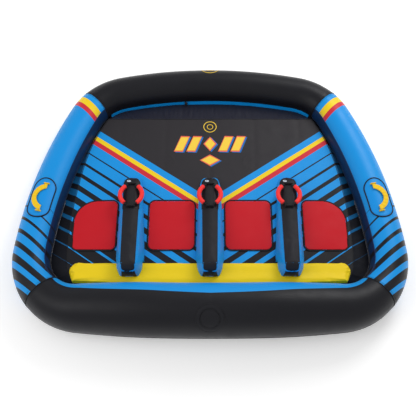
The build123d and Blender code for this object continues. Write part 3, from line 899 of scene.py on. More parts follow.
def gussetSheet(marks, side=1, across=14, wrinkles=42.0, seed=0.0):
    # a sloping strip from the deck edge down to the tube, puckered where it is gathered
    lengthsOf, walked = [0.0], 0.0
    for (a, _), (b, _) in zip(marks, marks[1:]):
        walked += hypot(b[0] - a[0], b[1] - a[1])
        lengthsOf.append(walked)
    count = int(walked / 0.008)
    rows = []
    for i in range(count + 1):
        want, at = walked * i / count, 0
        while at < len(marks) - 2 and lengthsOf[at + 1] < want:
            at += 1
        share = (want - lengthsOf[at]) / (lengthsOf[at + 1] - lengthsOf[at])
        (ax, ay), aPlace = marks[at]
        (bx, by), bPlace = marks[at + 1]
        top = Vector((ax + (bx - ax) * share, ay + (by - ay) * share, deck["top"] - 0.0015))
        place = aPlace + (bPlace - aPlace) * share
        crossed = place < 0 or place > ring["rearMiddle"]
        at = 2 * ring["rearMiddle"] - place if place > ring["rearMiddle"] else abs(place)
        foot = ringInner(at, -side if crossed else side, deck["footHeight"])
        row = []
        for j in range(across + 1):
            t = j / across
            pucker = noise.noise(Vector((want * wrinkles, t * 1.3, seed)))
            fine = noise.noise(Vector((want * wrinkles * 3.1, t * 2.2, seed + 7)))
            sag = 4 * t * (1 - t)
            held = sag ** 0.6 if sag > 0 else 0
            height = gusset["wrinkle"] * (pucker + 0.35 * fine) * held - gusset["sag"] * sag
            row.append(top.lerp(foot, t) + up * height)
        rows.append(row)
    return thickened(outward(gridMesh(rows)), 0.0015)


def frontMarks():
    x, y = gusset["corner"]
    return [((s * x, gusset["frontY"] + (y - gusset["frontY"]) * s * s + gusset["gap"]), place)
            for s, place in gusset["front"].items()]


def rearMarks():
    x, y = gusset["rearCorner"]
    last = gusset["sideDeck"][-1]
    marks = [((last[0] + gusset["gap"], last[1] - gusset["gap"]), 3.4)]
    marks += [((s * x, y + (gusset["rearY"] - y) * (1 - s * s) - gusset["gap"]), place)
              for s, place in gusset["rear"].items()]
    return marks


def bothWays(marks):
    # the place runs on past the middle: below 0 at the front, above 5 at the rear
    middle = marks[-1][1]
    return marks + [((-x, y), 2 * middle - place) for (x, y), place in reversed(marks[:-1])]


def curvedMarks(marks, perSpan=6):
    # a smooth line through the marks
    smooth = []
    for i in range(len(marks) - 1):
        quad = [marks[max(i - 1, 0)], marks[i], marks[i + 1], marks[min(i + 2, len(marks) - 1)]]
        for step in range(perSpan):
            t = step / perSpan
            weights = (-t ** 3 + 2 * t * t - t, 3 * t ** 3 - 5 * t * t + 2,
                       -3 * t ** 3 + 4 * t * t + t, t ** 3 - t * t)
            x, y, place = (sum(w * v for w, v in zip(weights, values)) / 2 for values in
                           ([m[0][0] for m in quad], [m[0][1] for m in quad], [m[1] for m in quad]))
            smooth.append(((x, y), place))
    return smooth + [marks[-1]]


addPiece("frontGusset", gussetSheet(bothWays(frontMarks()), wrinkles=60), [plainGusset],
         nodes=["front_gusset"])
addPiece("rearGusset", gussetSheet(bothWays(rearMarks()), wrinkles=36, seed=9), [gussetClothInPaintedShade],
         nodes=["rear_gusset"])
for side, word in ((-1, "left"), (1, "right")):
    marks = [((side * (x + gusset["gap"]), y), at)
             for (x, y), at in zip(gusset["sideDeck"], gusset["side"])]
    sheet = gussetSheet(curvedMarks(marks), side, wrinkles=26, seed=3 + side)
    addPiece(word + "Gusset", sheet, [gussetClothInPaintedShade], nodes=[word + "_gusset"])


def makeUnderside():
    rim = []
    for at, side in bothSides(0, ring["rearMiddle"], 0.03)[:-1]:
        rim.append(ringInner(at, side, 0.009, 0.0025))
    rows = []
    for share in [i / 24 for i in range(1, 25)]:
        row = []
        for p in rim:
            soft = 0.0014 * noise.noise(Vector((p.x * share * 3, p.y * share * 3, 1)))
            row.append(Vector((p.x * share, p.y * share - 0.05 * (1 - share), 0.0065 + soft)))
        rows.append(row)
    points = [p for row in rows for p in row] + [Vector((0, -0.05, 0.0065))]
    faces = gridFaces(len(rows), len(rim), False, True)
    faces += [(len(points) - 1, i, (i + 1) % len(rim)) for i in range(len(rim))]
    return thickened(outward(meshFrom(points, faces)), -0.0015)


addPiece("undersideCover", makeUnderside(), [underCloth], nodes=["underside_cover"])
print("stage: deck, gussets and underside made")


# printed shapes on the deck and the front tube
printShapes = {
    "barY": 0.405,
    "barHeight": 0.118,
    "barWidth": 0.058,
    "bars": (-0.210, -0.118, 0.118, 0.210),
    "lean": 0.045,
    "outline": 0.009,
    "shadow": (0.011, -0.007),
    "rhombs": ((0.0, 0.405, 0.038, 0.052),      # middle, half width, half height
               (0.0, 0.262, 0.064, 0.038)),
    "ringAt": (0.0, 0.558, 0.047),
}


def barOutline(x, y, width, height, lean):
    return [(x - width / 2 - lean / 2, y - height / 2), (x + width / 2 - lean / 2, y - height / 2),
            (x + width / 2 + lean / 2, y + height / 2), (x - width / 2 + lean / 2, y + height / 2)]


def grownOutline(outline, amount):
    corners = [Vector((*p, 0)) for p in outline]
    middle = sum(corners, Vector()) / len(corners)
    return [tuple((p + (p - middle).normalized() * amount * 1.3)[:2]) for p in corners]


def printedFace(outline, lift, shift=(0, 0)):
    # a thin film that follows the deck's own surface
    a, b, c, d = (Vector((x + shift[0], y + shift[1], 0)) for x, y in outline)
    rows = []
    for i in range(13):
        left, right = a.lerp(d, i / 12), b.lerp(c, i / 12)
        row = [left.lerp(right, j / 12) for j in range(13)]
        rows.append([Vector((p.x, p.y, deckHeight(p.x, p.y) + lift)) for p in row])
    return outward(gridMesh(rows))


def circleFilm(x, y, radius, width, lift, count=72):
    rows = []
    for r in (radius - width / 2, radius, radius + width / 2):
        row = [(x + r * cos(2 * pi * i / count), y + r * sin(2 * pi * i / count)) for i in range(count)]
        rows.append([Vector((p, q, deckHeight(p, q) + lift)) for p, q in row])
    return outward(gridMesh(rows, False, True))


def makePrints():
    outlines = [barOutline(x, printShapes["barY"], printShapes["barWidth"], printShapes["barHeight"],
                           printShapes["lean"]) for x in printShapes["bars"]]
    for x, y, width, height in printShapes["rhombs"]:
        outlines.append([(x, y - height), (x + width, y), (x, y + height), (x - width, y)])
    grown = [grownOutline(outline, printShapes["outline"]) for outline in outlines]
    shade = [printedFace(o, 0.0005, printShapes["shadow"]) for o in grown]
    border = [printedFace(o, 0.0009) for o in grown]
    fill = [printedFace(o, 0.0013) for o in outlines]
    ringX, ringY, radius = printShapes["ringAt"]
    fill.append(circleFilm(ringX, ringY, radius, 0.0055, 0.0016))
    fill.append(circleFilm(ringX, ringY, radius * 0.45, 0.0045, 0.0016))
    addPiece("deckPrintShadow", joinMeshes(shade), [printBlue])
    addPiece("deckPrintBorder", joinMeshes(border), [printCoral])
    addPiece("deckPrintShapes", joinMeshes(fill), [printYellow])


def tubeRing(radius, middleAngle):
    points, normals = [], []
    for i in range(64):
        turn = 2 * pi * i / 64
        across, rise = radius * cos(turn), radius * sin(turn)
        at, side = abs(across) / lengths[0], 1 if across >= 0 else -1
        angle = middleAngle - degrees(rise / ring["tubeRadius"])
        points.append(onTube(at, angle, 0.0006, side))
        normals.append(radial(at, angle, side))
    return sweptMesh(points, normals, flatSection(0.0055, 0.0010), True)


makePrints()
addPiece("frontTubePrint", joinMeshes([tubeRing(0.062, 136), tubeRing(0.026, 136)]), [printYellow])
print("stage: prints laid")


# seat pads, bolster and wedge dividers
soft = {
    "padVoxel": 0.0045,
    "padCap": 0.0045,
    "bolsterVoxel": 0.0060,
    "bolsterCap": 0.0070,
    "dividerVoxel": 0.0055,
    "dividerCap": 0.0060,
    "pressure": 4.0,
    "frames": 20,
}
padWords = {"outer_left": "outerLeft", "inner_left": "innerLeft", "inner_right": "innerRight",
            "outer_right": "outerRight"}
dividers = {"left": (-0.560, -0.541), "middle": (0.0, 0.0), "right": (0.560, 0.541)}
dividerNoseY, dividerTailY = 0.098, -0.684


def dividerX(name, y):
    nose, tail = dividers[name]
    return nose + (tail - nose) * (dividerNoseY - y) / (dividerNoseY - dividerTailY)


def swell(jobs):
    # inflates the soft pieces together, then holds each point within its cap
    starts = {}
    for piece, cap, floor in jobs:
        starts[piece.name] = [v.co.copy() for v in piece.data.vertices]
        pins = piece.vertex_groups.new(name="held")
        pins.add([v.index for v in piece.data.vertices if v.co.z < floor + 0.006], 1.0, "REPLACE")
        cloth = piece.modifiers.new("swell", "CLOTH")
        cloth.settings.quality = 5
        cloth.settings.mass = 0.3
        cloth.settings.tension_stiffness = 8
        cloth.settings.compression_stiffness = 8
        cloth.settings.bending_stiffness = 0.4
        cloth.settings.use_pressure = True
        cloth.settings.uniform_pressure_force = soft["pressure"]
        cloth.settings.effector_weights.gravity = 0
        cloth.settings.vertex_group_mass = "held"
        cloth.point_cache.frame_start = 1
        cloth.point_cache.frame_end = soft["frames"]
    for number in range(1, soft["frames"] + 1):
        scene.frame_set(number)
    graph = bpy.context.evaluated_depsgraph_get()
    for piece, cap, floor in jobs:
        swollen = [v.co.copy() for v in piece.evaluated_get(graph).data.vertices]
        piece.modifiers.remove(piece.modifiers["swell"])
        piece.vertex_groups.clear()
        for vert, start, moved in zip(piece.data.vertices, starts[piece.name], swollen):
            step = moved - start
            if step.length > cap:
                step *= cap / step.length
            vert.co = start + step
            vert.co.z = max(vert.co.z, floor)
        piece.data.update()
    scene.frame_set(1)


def crowned(mesh, amount, middle, half):
    # a pad that rises towards its middle
    for vert in mesh.vertices:
        if vert.co.z > 0.1235:
            across = min(abs(vert.co.x - middle.x) / half.x, 1)
            along = min(abs(vert.co.y - middle.y) / half.y, 1)
            vert.co.z += amount * (1 - across ** 4) * (1 - along ** 4)
    mesh.update()


jobs = []
softPieces = {}
for node, word in padWords.items():
    low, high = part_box(node + "_seat_pad")
    mesh = remeshed(outerSkin(node + "_seat_pad"), soft["padVoxel"], 3, 0.0004)
    crowned(mesh, 0.0030, (low + high) / 2, (high - low) / 2)
    rumpled(mesh, 0.0008, 0.07, low.x)
    piece = addPiece(word + "SeatPad", mesh, [padCloth], nodes=[node + "_seat_pad"],
                     sharp=180)
    jobs.append((piece, soft["padCap"], 0.1206))
mesh = rumpled(remeshed(outerSkin("bolster_cover"), soft["bolsterVoxel"], 3, 0.001), 0.0016, 0.06)
for vert in mesh.vertices:      # its back edge leans on the rear tube
    rear = smoothStep((-0.640 - vert.co.y) / 0.090)
    vert.co.y -= 0.008 * rear
    vert.co.z += 0.012 * rear * smoothStep((vert.co.z - 0.121) / 0.03)
bolster = addPiece("bolsterCover", mesh, [yellowCloth], nodes=["bolster_cover", "bolster_bladder"],
                   sharp=180)
jobs.append((bolster, soft["bolsterCap"], 0.1206))
for name in dividers:
    mesh = remeshed(outerSkin(name + "_divider_cover"), soft["dividerVoxel"], 4, 0.0025)
    rumpled(mesh, 0.0016, 0.05, dividers[name][0])
    nodes = [name + "_divider_cover"] + (["divider_bladders"] if name == "middle" else [])
    piece = addPiece(name + "DividerCover", mesh, [blueCloth], nodes=nodes,
                     sharp=180)
    softPieces[name] = piece
    jobs.append((piece, soft["dividerCap"], 0.1206))
swell(jobs)
for piece, cap, floor in jobs:
    rounder = piece.modifiers.new("rounder", "SUBSURF")
    rounder.levels = rounder.render_levels = 1
print("stage: soft pieces swollen")

bindings = []
bindingStitches = []
for node in padWords:
    line = outlineOf(node + "_seat_pad", 150, 0.0045)
    path = [Vector((p.x, p.y, 0.1232)) for p in line]
    bindings.append(sweptMesh(path, [up] * len(path), flatSection(0.0088, 0.0046), True))
    inner = [Vector((p.x, p.y, 0.1256)) for p in outlineOf(node + "_seat_pad", 150, 0.0020)]
    bindingStitches.append(stitchMesh(inner + inner[:1], [up] * (len(inner) + 1), pitch=0.008,
                                      length=0.005))
addPiece("seatPadBindings", joinMeshes(bindings), [bindingCloth], nodes=["seat_pad_bindings"])
addPiece("seatPadStitches", joinMeshes(bindingStitches), [thread])


# strips, head patches and badges on the dividers
trim = {
    "patchFrom": 0.094, "patchTo": -0.189,
    "stripFrom": -0.186, "stripTo": -0.640,
    "stripThick": 0.0022,
    "tailSteps": (0.286, 0.262, 0.238, 0.214, 0.190, 0.166),
    "stations": ((0.098, 0.036), (0.084, 0.050), (0.040, 0.055), (-0.150, 0.054), (-0.400, 0.051),
                 (-0.560, 0.049), (-0.640, 0.048), (-0.684, 0.042)),
}


def topHalf(y):
    for (y1, w1), (y2, w2) in zip(trim["stations"], trim["stations"][1:]):
        if y1 >= y >= y2:
            return w1 + (w2 - w1) * (y1 - y) / (y1 - y2)
    return trim["stations"][0 if y > 0 else -1][1]


def surfaceOf(piece):
    graph = bpy.context.evaluated_depsgraph_get()
    return BVHTree.FromObject(piece, graph)


def laidSheet(tree, rays, lift, thick):
    # a sheet laid on a swollen piece: each row is a list of (origin, direction)
    rows = []
    for row in rays:
        made = []
        for origin, direction in row:
            hit, normal, _, _ = tree.ray_cast(origin, direction)
            if hit is None:
                hit, normal, _, _ = tree.find_nearest(origin)
            made.append(hit + normal * lift)
        rows.append(made)
    return thickened(outward(gridMesh(rows)), thick)


def topRays(name, marks, shrink, columns=12):
    rays = []
    for y, narrow in marks:
        half = (topHalf(y) - shrink) * narrow
        rays.append([(Vector((dividerX(name, y) + half * (2 * j / columns - 1), y, 0.45)), -up)
                     for j in range(columns + 1)])
    return rays


for name in dividers:
    tree = surfaceOf(softPieces[name])
    # the head patch is round at the nose
    marks = []
    for i in range(25):
        y = trim["patchFrom"] + (trim["patchTo"] - trim["patchFrom"]) * i / 24
        nose = max(0.0, (y - 0.040) / 0.052)
        marks.append((y, max(sqrt(max(1 - nose * nose, 0.02)), 0.15)))
    patch = laidSheet(tree, topRays(name, marks, -0.004), 0.0022, trim["stripThick"])
    addPiece(name + "HeadPatch", patch, [blackCloth], nodes=[name + "_head_patch"])
    stripRun = trim["stripTo"] - trim["stripFrom"]
    marks = [(trim["stripFrom"] + stripRun * i / 40, 1.0) for i in range(41)]
    rays = topRays(name, marks, 0.003)
    tailX = dividerX(name, dividerTailY)
    slope = Vector((0, 0.72, -0.69))
    for y, z in ((-0.660, 0.300), (-0.680, 0.285)):
        rays.append([(Vector((dividerX(name, y) + 0.043 * (2 * j / 12 - 1), y, z)) - slope * 0.1, slope)
                     for j in range(13)])
    for z in trim["tailSteps"][1:]:
        half = 0.040 + (0.262 - z) * 0.12
        rays.append([(Vector((tailX + half * (2 * j / 12 - 1), -0.85, z)), Vector((0, 1, 0)))
                     for j in range(13)])
    strip = laidSheet(tree, rays, 0.0014, trim["stripThick"] - 0.0006)
    addPiece(name + "DividerStrip", strip, [stripCloth], nodes=[name + "_divider_strip"])
    # seams where the blue sides meet the strip
    seams, rows = [], []
    for side in (-1, 1):
        points, normals = [], []
        for i in range(60):
            y = 0.02 + (trim["stripTo"] - 0.02) * i / 59
            x = dividerX(name, y) + side * (topHalf(y) - 0.0015)
            hit, normal, _, _ = tree.ray_cast(Vector((x, y, 0.45)), -up)
            if hit:
                points.append(hit + normal * 0.0006)
                normals.append(normal)
        seams.append(sweptMesh(points, normals, roundSection(0.0024, 6)))
        inside = [p - Vector((side * 0.007, 0, -0.0022)) for p in points]
        rows.append(stitchMesh(inside, normals, pitch=0.009))
    addPiece(name + "DividerPiping", joinMeshes(seams), [bindingCloth])
    addPiece(name + "DividerStitches", joinMeshes(rows), [thread])

badge = {
    "y": 0.052,
    "offset": -0.022,
    "length": 0.015,
    "width": 0.0095,
    "height": 0.0034,
    "inlay": (0.006, 0.0038),
    "inlayLift": 0.0034 - 0.0012,
    "inlayHeight": 0.0020,
}


def domeMesh(middle, normal, forward, half, height, rings=8, count=32):
    across = forward.cross(normal).normalized()
    rows = []
    for i in range(rings):
        turn = (i + 1) / rings * pi / 2
        lift, spread = height * cos(turn), sin(turn)
        rows.append([middle + normal * lift + (across * cos(2 * pi * j / count) * half[0]
                     + forward * sin(2 * pi * j / count) * half[1]) * spread for j in range(count)])
    points = [p for row in rows for p in row] + [middle + normal * height]
    faces = gridFaces(rings, count, False, True)
    faces += [(len(points) - 1, i, (i + 1) % count) for i in range(count)]
    faces.append(tuple(range((rings - 1) * count, rings * count)))
    return outward(meshFrom(points, faces))


domes, inlays = [], []
for name in dividers:
    tree = surfaceOf(bpy.data.objects[name + "HeadPatch"])
    spot = Vector((dividerX(name, badge["y"]) + badge["offset"], badge["y"], 0.4))
    hit, normal, _, _ = tree.ray_cast(spot, -up)
    forward = Vector((0.25, 1, 0)).normalized()
    forward = (forward - normal * forward.dot(normal)).normalized()
    domes.append(domeMesh(hit, normal, forward, (badge["length"], badge["width"]), badge["height"]))
    inlays.append(domeMesh(hit + normal * badge["inlayLift"], normal, forward, badge["inlay"],
                           badge["inlayHeight"]))
addPiece("dividerBadges", joinMeshes(domes), [badgeRubber], nodes=["divider_badges"])
addPiece("dividerBadgeInlays", joinMeshes(inlays), [badgeDark])
print("stage: dividers trimmed")


# grab handles on the dividers
handle = {
    "middleY": -0.078, "height": 0.2148, "offset": 0.025,
    "half": 0.0885, "reach": 0.052, "tilt": (0.9833, -0.1818),
    "gripRadius": 0.0154, "cordRadius": 0.0048, "gripFrom": 0.10, "gripTo": 0.90,
    "webbingHalf": 0.030, "foldHeight": 0.017, "foldThick": 0.009, "foldAt": (0.021, -0.177),
}


def bow(half, reach, share):
    # a point on the arc through both ends and the middle of a bent grip
    radius = (half * half + reach * reach) / (2 * reach)
    turn = asin(half / radius) * (2 * share - 1)
    return radius * cos(turn) - (radius - reach), radius * sin(turn)


def handlePath(name, side, start, end, count):
    origin = Vector((dividerX(name, handle["middleY"]) + side * handle["offset"], handle["middleY"],
                     handle["height"]))
    along = Vector((0, *handle["tilt"]))
    points = []
    for i in range(count):
        u, v = bow(handle["half"], handle["reach"], start + (end - start) * i / (count - 1))
        points.append(origin + Vector((side * u, 0, 0)) + along * v)
    return points


def gripSection(share):
    # a foam sleeve: round ends, a shallow crease where it bends
    close = min(share, 1 - share) / 0.05
    radius = handle["gripRadius"] * (sqrt(max(1 - (1 - min(close, 1)) ** 2, 0)) * 0.45 + 0.55)
    radius *= 1 - 0.07 * exp(-((share - 0.5) / 0.045) ** 2) - 0.03 * exp(-((share - 0.28) / 0.03) ** 2)
    turns = [2 * pi * i / 20 for i in range(20)]
    return [(radius * 1.02 * cos(turn), radius * 0.96 * sin(turn)) for turn in turns]


facing = Vector((0, -handle["tilt"][1], handle["tilt"][0]))
for name in dividers:
    for side, word in ((-1, "left"), (1, "right")):
        body, node = f"{name}_divider_{word}_handle", f"{name}_divider_{word}"
        points = handlePath(name, side, handle["gripFrom"], handle["gripTo"], 60)
        grip = rumpled(sweptMesh(points, [facing] * 60, gripSection), 0.0007, 0.012, side)
        word = name + "Divider" + word.capitalize()
        addPiece(word + "Grip", grip, [foamGrip], body, [node + "_grip"])
        points = handlePath(name, side, 0, 1, 60)
        cord = sweptMesh(points, [facing] * 60, roundSection(handle["cordRadius"], 12))
        addPiece(word + "Strap", cord, [webbing], body, [node + "_cord"])

straps, strapRows = [], []
for name in dividers:
    tree = surfaceOf(bpy.data.objects[name + "HeadPatch"])
    half, rays = handle["webbingHalf"], []
    for i in range(30):
        y = 0.027 - 0.210 * i / 29
        rays.append([(Vector((dividerX(name, y) + half * (2 * j / 8 - 1), y, 0.45)), -up)
                     for j in range(9)])
    straps.append(laidSheet(tree, rays, 0.0024, 0.0022))
    for side in (-1, 1):
        line = [row[4 + side * 3] for row in rays]
        hits = [tree.ray_cast(origin, -up)[0] for origin, _ in line]
        strapRows.append(stitchMesh([h + up * 0.0026 for h in hits if h], [up] * len(hits), pitch=0.007,
                                    length=0.0045))
    for y in handle["foldAt"]:
        x = dividerX(name, y)
        base = tree.ray_cast(Vector((x, y, 0.45)), -up)[0].z + 0.0022
        height, thick = handle["foldHeight"], handle["foldThick"]
        line = [Vector((x - 0.031 + 0.062 * i / 8, y, base + height / 2)) for i in range(9)]
        straps.append(sweptMesh(line, [Vector((0, 1, 0))] * 9, flatSection(height, thick)))
addPiece("handleWebbing", joinMeshes(straps), [webbing], nodes=["handle_webbing"])
addPiece("handleWebbingStitches", joinMeshes(strapRows), [thread])


# side handles and their oval patches
sideHandle = {
    "at": 2.68, "patchLength": 0.316, "patchWidth": 0.156, "patchLift": 0.0026,
    "inboard": 0.018, "lift": 0.012, "half": 0.086, "reach": 0.062,
    "strapWidth": 0.038, "strapThick": 0.006, "anchorReach": 0.108,
}


def filmOver(outline, place, profile):
    # rings of the outline, from its middle to its rim, each at its own lift
    rows = []
    for scale, lift in profile:
        rows.append([place(s * scale, t * scale, lift) for s, t in outline])
    points = [p for row in rows for p in row] + [place(0, 0, profile[0][1])]
    count = len(outline)
    faces = gridFaces(len(rows), count, False, True)
    faces += [(len(points) - 1, i, (i + 1) % count) for i in range(count)]
    return outward(meshFrom(points, faces))


def stadium(length, width, count=40):
    half, r = (length - width) / 2, width / 2
    turns = [pi * i / count - pi / 2 for i in range(count + 1)]
    ends = [(half + r * cos(turn), r * sin(turn)) for turn in turns]
    sides = [(half - 2 * half * i / count, r) for i in range(1, count)]
    right = ends + sides
    return right + [(-s, -t) for s, t in right]


def sidePlace(side):
    def place(s, t, lift):
        at = sideHandle["at"] - s / lengths[2]
        return onTube(at, degrees(acos(max(-1, min(1, -t / tubeRadius(at))))), lift, side)
    return place


patchProfile = [(0.1 * i, sideHandle["patchLift"] + 0.0010 * (1 - (0.1 * i) ** 4))
                for i in range(1, 10)]
patchProfile += [(0.96, sideHandle["patchLift"]), (0.99, 0.0016), (1.0, 0.0002)]
patches, patchWelts, patchRows, anchors = [], [], [], []
for side, word in ((-1, "left"), (1, "right")):
    outline = stadium(sideHandle["patchLength"], sideHandle["patchWidth"])
    put = sidePlace(side)
    patches.append(filmOver(outline, put, patchProfile))
    for scale, radius, store in ((0.975, 0.0046, patchWelts), (0.91, 0.0, patchRows)):
        lift = 0.0022 if radius else 0.0030
        line = evenly([put(s * scale, t * scale, lift) for s, t in outline], 200, True)
        x, y, _ = ringAt(sideHandle["at"], side)
        normals = [(p - Vector((x, p.y, ring["tubeRadius"]))).normalized() for p in line]
        if radius:
            store.append(sweptMesh(line, normals, roundSection(radius), True))
        else:
            store.append(stitchMesh(line + line[:1], normals + normals[:1]))
    x, y, heading = ringAt(sideHandle["at"], side)
    out = Vector((side * sin(heading), cos(heading), 0))
    along = Vector((side * cos(heading), -sin(heading), 0))
    height = 2 * tubeRadius(sideHandle["at"]) + sideHandle["lift"]
    origin = Vector((x, y, height)) - out * sideHandle["inboard"]

    def strapSection(share):
        fold = exp(-((share - 0.5) / 0.22) ** 2)
        width, thick = sideHandle["strapWidth"], sideHandle["strapThick"]
        return flatSection(width - 0.005 * fold, thick + 0.003 * fold)(share)
    points = []
    for i in range(60):
        u, v = bow(sideHandle["half"], sideHandle["reach"], i / 59)
        sway = 0.0012 * sin(i * 0.9)
        points.append(origin + out * u + along * v + up * sway)
    strap = rumpled(sweptMesh(points, [up] * 60, strapSection), 0.0006, 0.02, side)
    rolls = []
    for end in (-1, 1):
        line = [origin + along * (end * sideHandle["half"] + 0.028 * (i / 6 - 0.5)) for i in range(7)]
        rolls.append(sweptMesh(line, [up] * 7, roundSection(0.0046, 14)))
        anchor = origin + along * end * sideHandle["anchorReach"]
        line = [anchor + out * (0.006 + 0.038 * (i / 6 - 0.5)) - up * 0.0035 for i in range(7)]
        anchors.append(sweptMesh(line, [along] * 7, flatSection(0.0185, 0.008)))
    addPiece(word + "SideHandle", joinMeshes([strap] + rolls), [yellowWebbing],
             word + "_side_handle_strap", [word + "_side_handle"])
addPiece("sideHandlePatches", joinMeshes(patches), [blueTrim], nodes=["side_handle_patches"])
addPiece("sidePatchWelts", joinMeshes(patchWelts), [bindingCloth])
addPiece("sidePatchStitches", joinMeshes(patchRows), [blueThread])
addPiece("sideHandleAnchors", joinMeshes(anchors), [yellowWebbing])
print("stage: handles made")


# zipper under its flap, and the closure strips
zipper = {
    "end": 1.56,            # place along the ring
    "break": 0.2915,        # the slider parks where the flap is split
    "top": 0.113,
    "foot": 0.088,
    "coilHeight": 0.0845,
    "coilRadius": 0.0022,
    "strip": (2.62, 3.46),
    "stripHeights": (0.092, 0.118),
}


def flapSheet(places, reach, seed):
    rows = []
    for number, (at, side) in enumerate(places):
        row = []
        for j in range(7):
            t = j / 6
            z = zipper["top"] + (zipper["foot"] - zipper["top"]) * t
            wave = 0.0012 * noise.noise(Vector((number * 0.11, t * 1.5, seed)))
            row.append(onTube(at, angleAtHeight(at, z), 0.0012 + reach * t ** 1.3 + wave, side))
        rows.append(row)
    return thickened(outward(gridMesh(rows)), 0.0012)


rightPart = [(at, -1) for at in reversed(placesBetween(0, zipper["break"], 0.01))]
rightPart += [(at, 1) for at in placesBetween(0, zipper["end"], 0.01)[1:]]
leftPart = [(at, -1) for at in placesBetween(zipper["break"] + 0.012, zipper["end"], 0.01)]
flap = joinMeshes([flapSheet(rightPart, 0.013, 1), flapSheet(leftPart, 0.009, 2)])
addPiece("zipperFlap", flap, [blueTrim], nodes=["front_zipper"])
points, normals = lineOnTube(bothSides(0, zipper["end"], 0.02),
                             lambda at: angleAtHeight(at, zipper["coilHeight"]), 0.0026)
coil = sweptMesh(points, normals, roundSection(zipper["coilRadius"], 6))
addPiece("zipperCoil", coil, [blackPlastic])

tapes = []
for side in (-1, 1):
    rows = []
    for at in placesBetween(*zipper["strip"], 0.01):
        low, high = (angleAtHeight(at, z) for z in zipper["stripHeights"])
        rows.append([onTube(at, low + (high - low) * j / 5, 0.0036, side) for j in range(6)])
    tapes.append(thickened(outward(gridMesh(rows)), 0.0018))
addPiece("closureStrips", joinMeshes(tapes), [loopTape], nodes=["closure_strips"])


# hatch, valve and tow point
def circle(radius, count=72):
    return [(radius * cos(2 * pi * i / count), radius * sin(2 * pi * i / count)) for i in range(count)]


def ringFilm(profile):
    rows = [[hatchPoint(s, t, lift) for s, t in circle(radius)] for radius, lift in profile]
    return outward(gridMesh(rows, False, True))


def hatchWelt(radius, lift, thick):
    line = [hatchPoint(s, t, lift) for s, t in circle(radius)]
    normal = radial(ring["rearMiddle"], hatch["angle"])
    return sweptMesh(line, [normal] * len(line), roundSection(thick), True)


addPiece("hatchRim", joinMeshes([ringFilm(hatch["rim"]), hatchWelt(*hatch["rimWelt"])]), [blackCloth],
         nodes=["hatch_rim"])
lidProfile = [(0.1 * i, hatch["lidTop"] - hatch["lidCrown"] * (0.1 * i) ** 2) for i in range(1, 10)]
lidProfile.append((1.0, 0.0062))
lid = thickened(filmOver(circle(hatch["lidRadius"]), hatchPoint, lidProfile), hatch["lidThick"])
addPiece("hatchLid", joinMeshes([lid, hatchWelt(*hatch["lidWelt"])]), [blackCloth], "hatch_flap",
         ["hatch_lid"])
addPiece("backrestBladderNeck", ringFilm(hatch["neck"]), [vinyl], nodes=["backrest_bladder"])


towPoint = {
    "angle": 198,           # on the front tube, just under its widest line
    "patch": (0.300, 0.120),
    "patchLift": 0.0038,
    "strapReach": 0.125,
    "strapWidth": 0.044,
    "strapThick": 0.0026,
    "strapLift": 0.0056,
    "tabX": 0.024,          # two tabs hold the pin
    "tabY": 1.0465,
    "tabZ": 0.057,
    "tabLength": 0.019,
    "tabWidth": 0.022,
    "tabThick": 0.008,
}


def towPlace(s, t, lift):
    angle = towPoint["angle"] + degrees(t / ring["tubeRadius"])
    return onTube(abs(s) / lengths[0], angle, lift, 1 if s >= 0 else -1)


towProfile = [(0.1 * i, towPoint["patchLift"]) for i in range(1, 10)] + [(0.98, 0.003), (1.0, 0.0004)]
patch = filmOver(stadium(*towPoint["patch"]), towPlace, towProfile)
addPiece("towPatch", patch, [blackCloth], nodes=["tow_patch"])
reach = towPoint["strapReach"]
strap = [towPlace(-reach + 2 * reach * i / 40, 0, towPoint["strapLift"]) for i in range(41)]
normals = [(p - Vector((p.x, ring["frontCentreY"], ring["tubeRadius"]))).normalized() for p in strap]
tow = [sweptMesh(strap, normals, flatSection(towPoint["strapWidth"], towPoint["strapThick"]))]
for x in (-towPoint["tabX"], towPoint["tabX"]):
    line = [Vector((x, towPoint["tabY"] + towPoint["tabLength"] * i / 6, towPoint["tabZ"]))
            for i in range(7)]
    section = flatSection(towPoint["tabWidth"], towPoint["tabThick"])
    tow.append(sweptMesh(line, [Vector((1, 0, 0))] * 7, section))
addPiece("towHarness", joinMeshes(tow), [webbing], nodes=["tow_harness"])


def finishNode(name, material, edge=0.0):
    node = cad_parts[name]
    node.data.materials.clear()
    node.data.materials.append(material)
    if edge:
        bevel = node.modifiers.new("edges", "BEVEL")
        bevel.width, bevel.segments, bevel.limit_method = edge, 2, "ANGLE"
        bevel.angle_limit = radians(40)


finishNode("valve_body", blackPlastic)
finishNode("valve_cap", blackPlastic, 0.0006)
finishNode("tow_connector", blackPlastic, 0.0008)
finishNode("tow_pin", steel, 0.0004)
finishNode("zipper_slider", sliderPlastic, 0.0006)
print("stage: hatch, valve and tow point made")


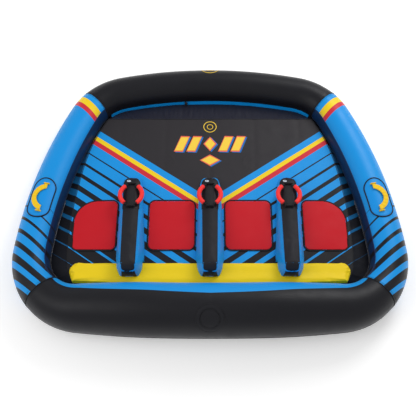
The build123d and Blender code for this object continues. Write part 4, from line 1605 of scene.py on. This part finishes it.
# floor, light and camera
studio = {
    "floor": tint(250, 250, 250),
    "floorHalf": 20.0,
    "floorGlow": 0.28,      # keeps the ground near white
    "keyPower": 112.0,
    "fillPower": 52.0,
    "worldStrength": 0.62,
    "cameraAt": (0.0, -2.4762, 4.5181),
    "cameraTilt": 28.0,
    "lens": 60.6,
    "shift": -0.0048,
}


def makeFloor():
    half, level = studio["floorHalf"], -0.0005
    rows = [[Vector((half * (i / 10 - 1), half * (j / 10 - 1), level)) for i in range(21)]
            for j in range(21)]
    floor = bpy.data.objects.new("studioFloor", gridMesh(rows))
    material = bpy.data.materials.new("pale floor")
    material.use_nodes = True
    tree = material.node_tree
    shader = tree.nodes["Principled BSDF"]
    worn = calc(tree, "MULTIPLY", cloudy(tree, 0.6), 0.02)
    plug(tree, shader.inputs["Base Color"], painted(tree, studio["floor"], worn, tint(225, 228, 232)))
    shader.inputs["Roughness"].default_value = 0.9
    shader.inputs["Emission Color"].default_value = studio["floor"]
    shader.inputs["Emission Strength"].default_value = studio["floorGlow"]
    floor.data.materials.append(material)
    scene.collection.objects.link(floor)
    return floor


def areaLight(name, where, size, power, colour=(1, 1, 1)):
    light = bpy.data.lights.new(name, "AREA")
    light.shape, light.size, light.energy, light.color = "DISK", size, power, colour
    lamp = bpy.data.objects.new(name, light)
    lamp.location = where
    lamp.rotation_euler = (Vector((0, 0, 0.1)) - Vector(where)).to_track_quat("-Z", "Y").to_euler()
    scene.collection.objects.link(lamp)
    return lamp


world = bpy.data.worlds.new("studio air")
world.use_nodes = True
world.node_tree.nodes["Background"].inputs[0].default_value = (1, 1, 1, 1)
world.node_tree.nodes["Background"].inputs[1].default_value = studio["worldStrength"]
scene.world = world
makeFloor()
areaLight("keyLight", (2.6, 3.2, 3.8), 2.6, studio["keyPower"])
areaLight("fillLight", (-3.6, -1.5, 4.2), 3.4, studio["fillPower"])
camera = bpy.data.objects.new("camera", bpy.data.cameras.new("camera"))
camera.location = studio["cameraAt"]
camera.rotation_euler = (radians(studio["cameraTilt"]), 0, 0)
camera.data.lens, camera.data.sensor_width = studio["lens"], 36
camera.data.shift_x = studio["shift"]
scene.collection.objects.link(camera)
scene.camera = camera

print("stage: scene ready")
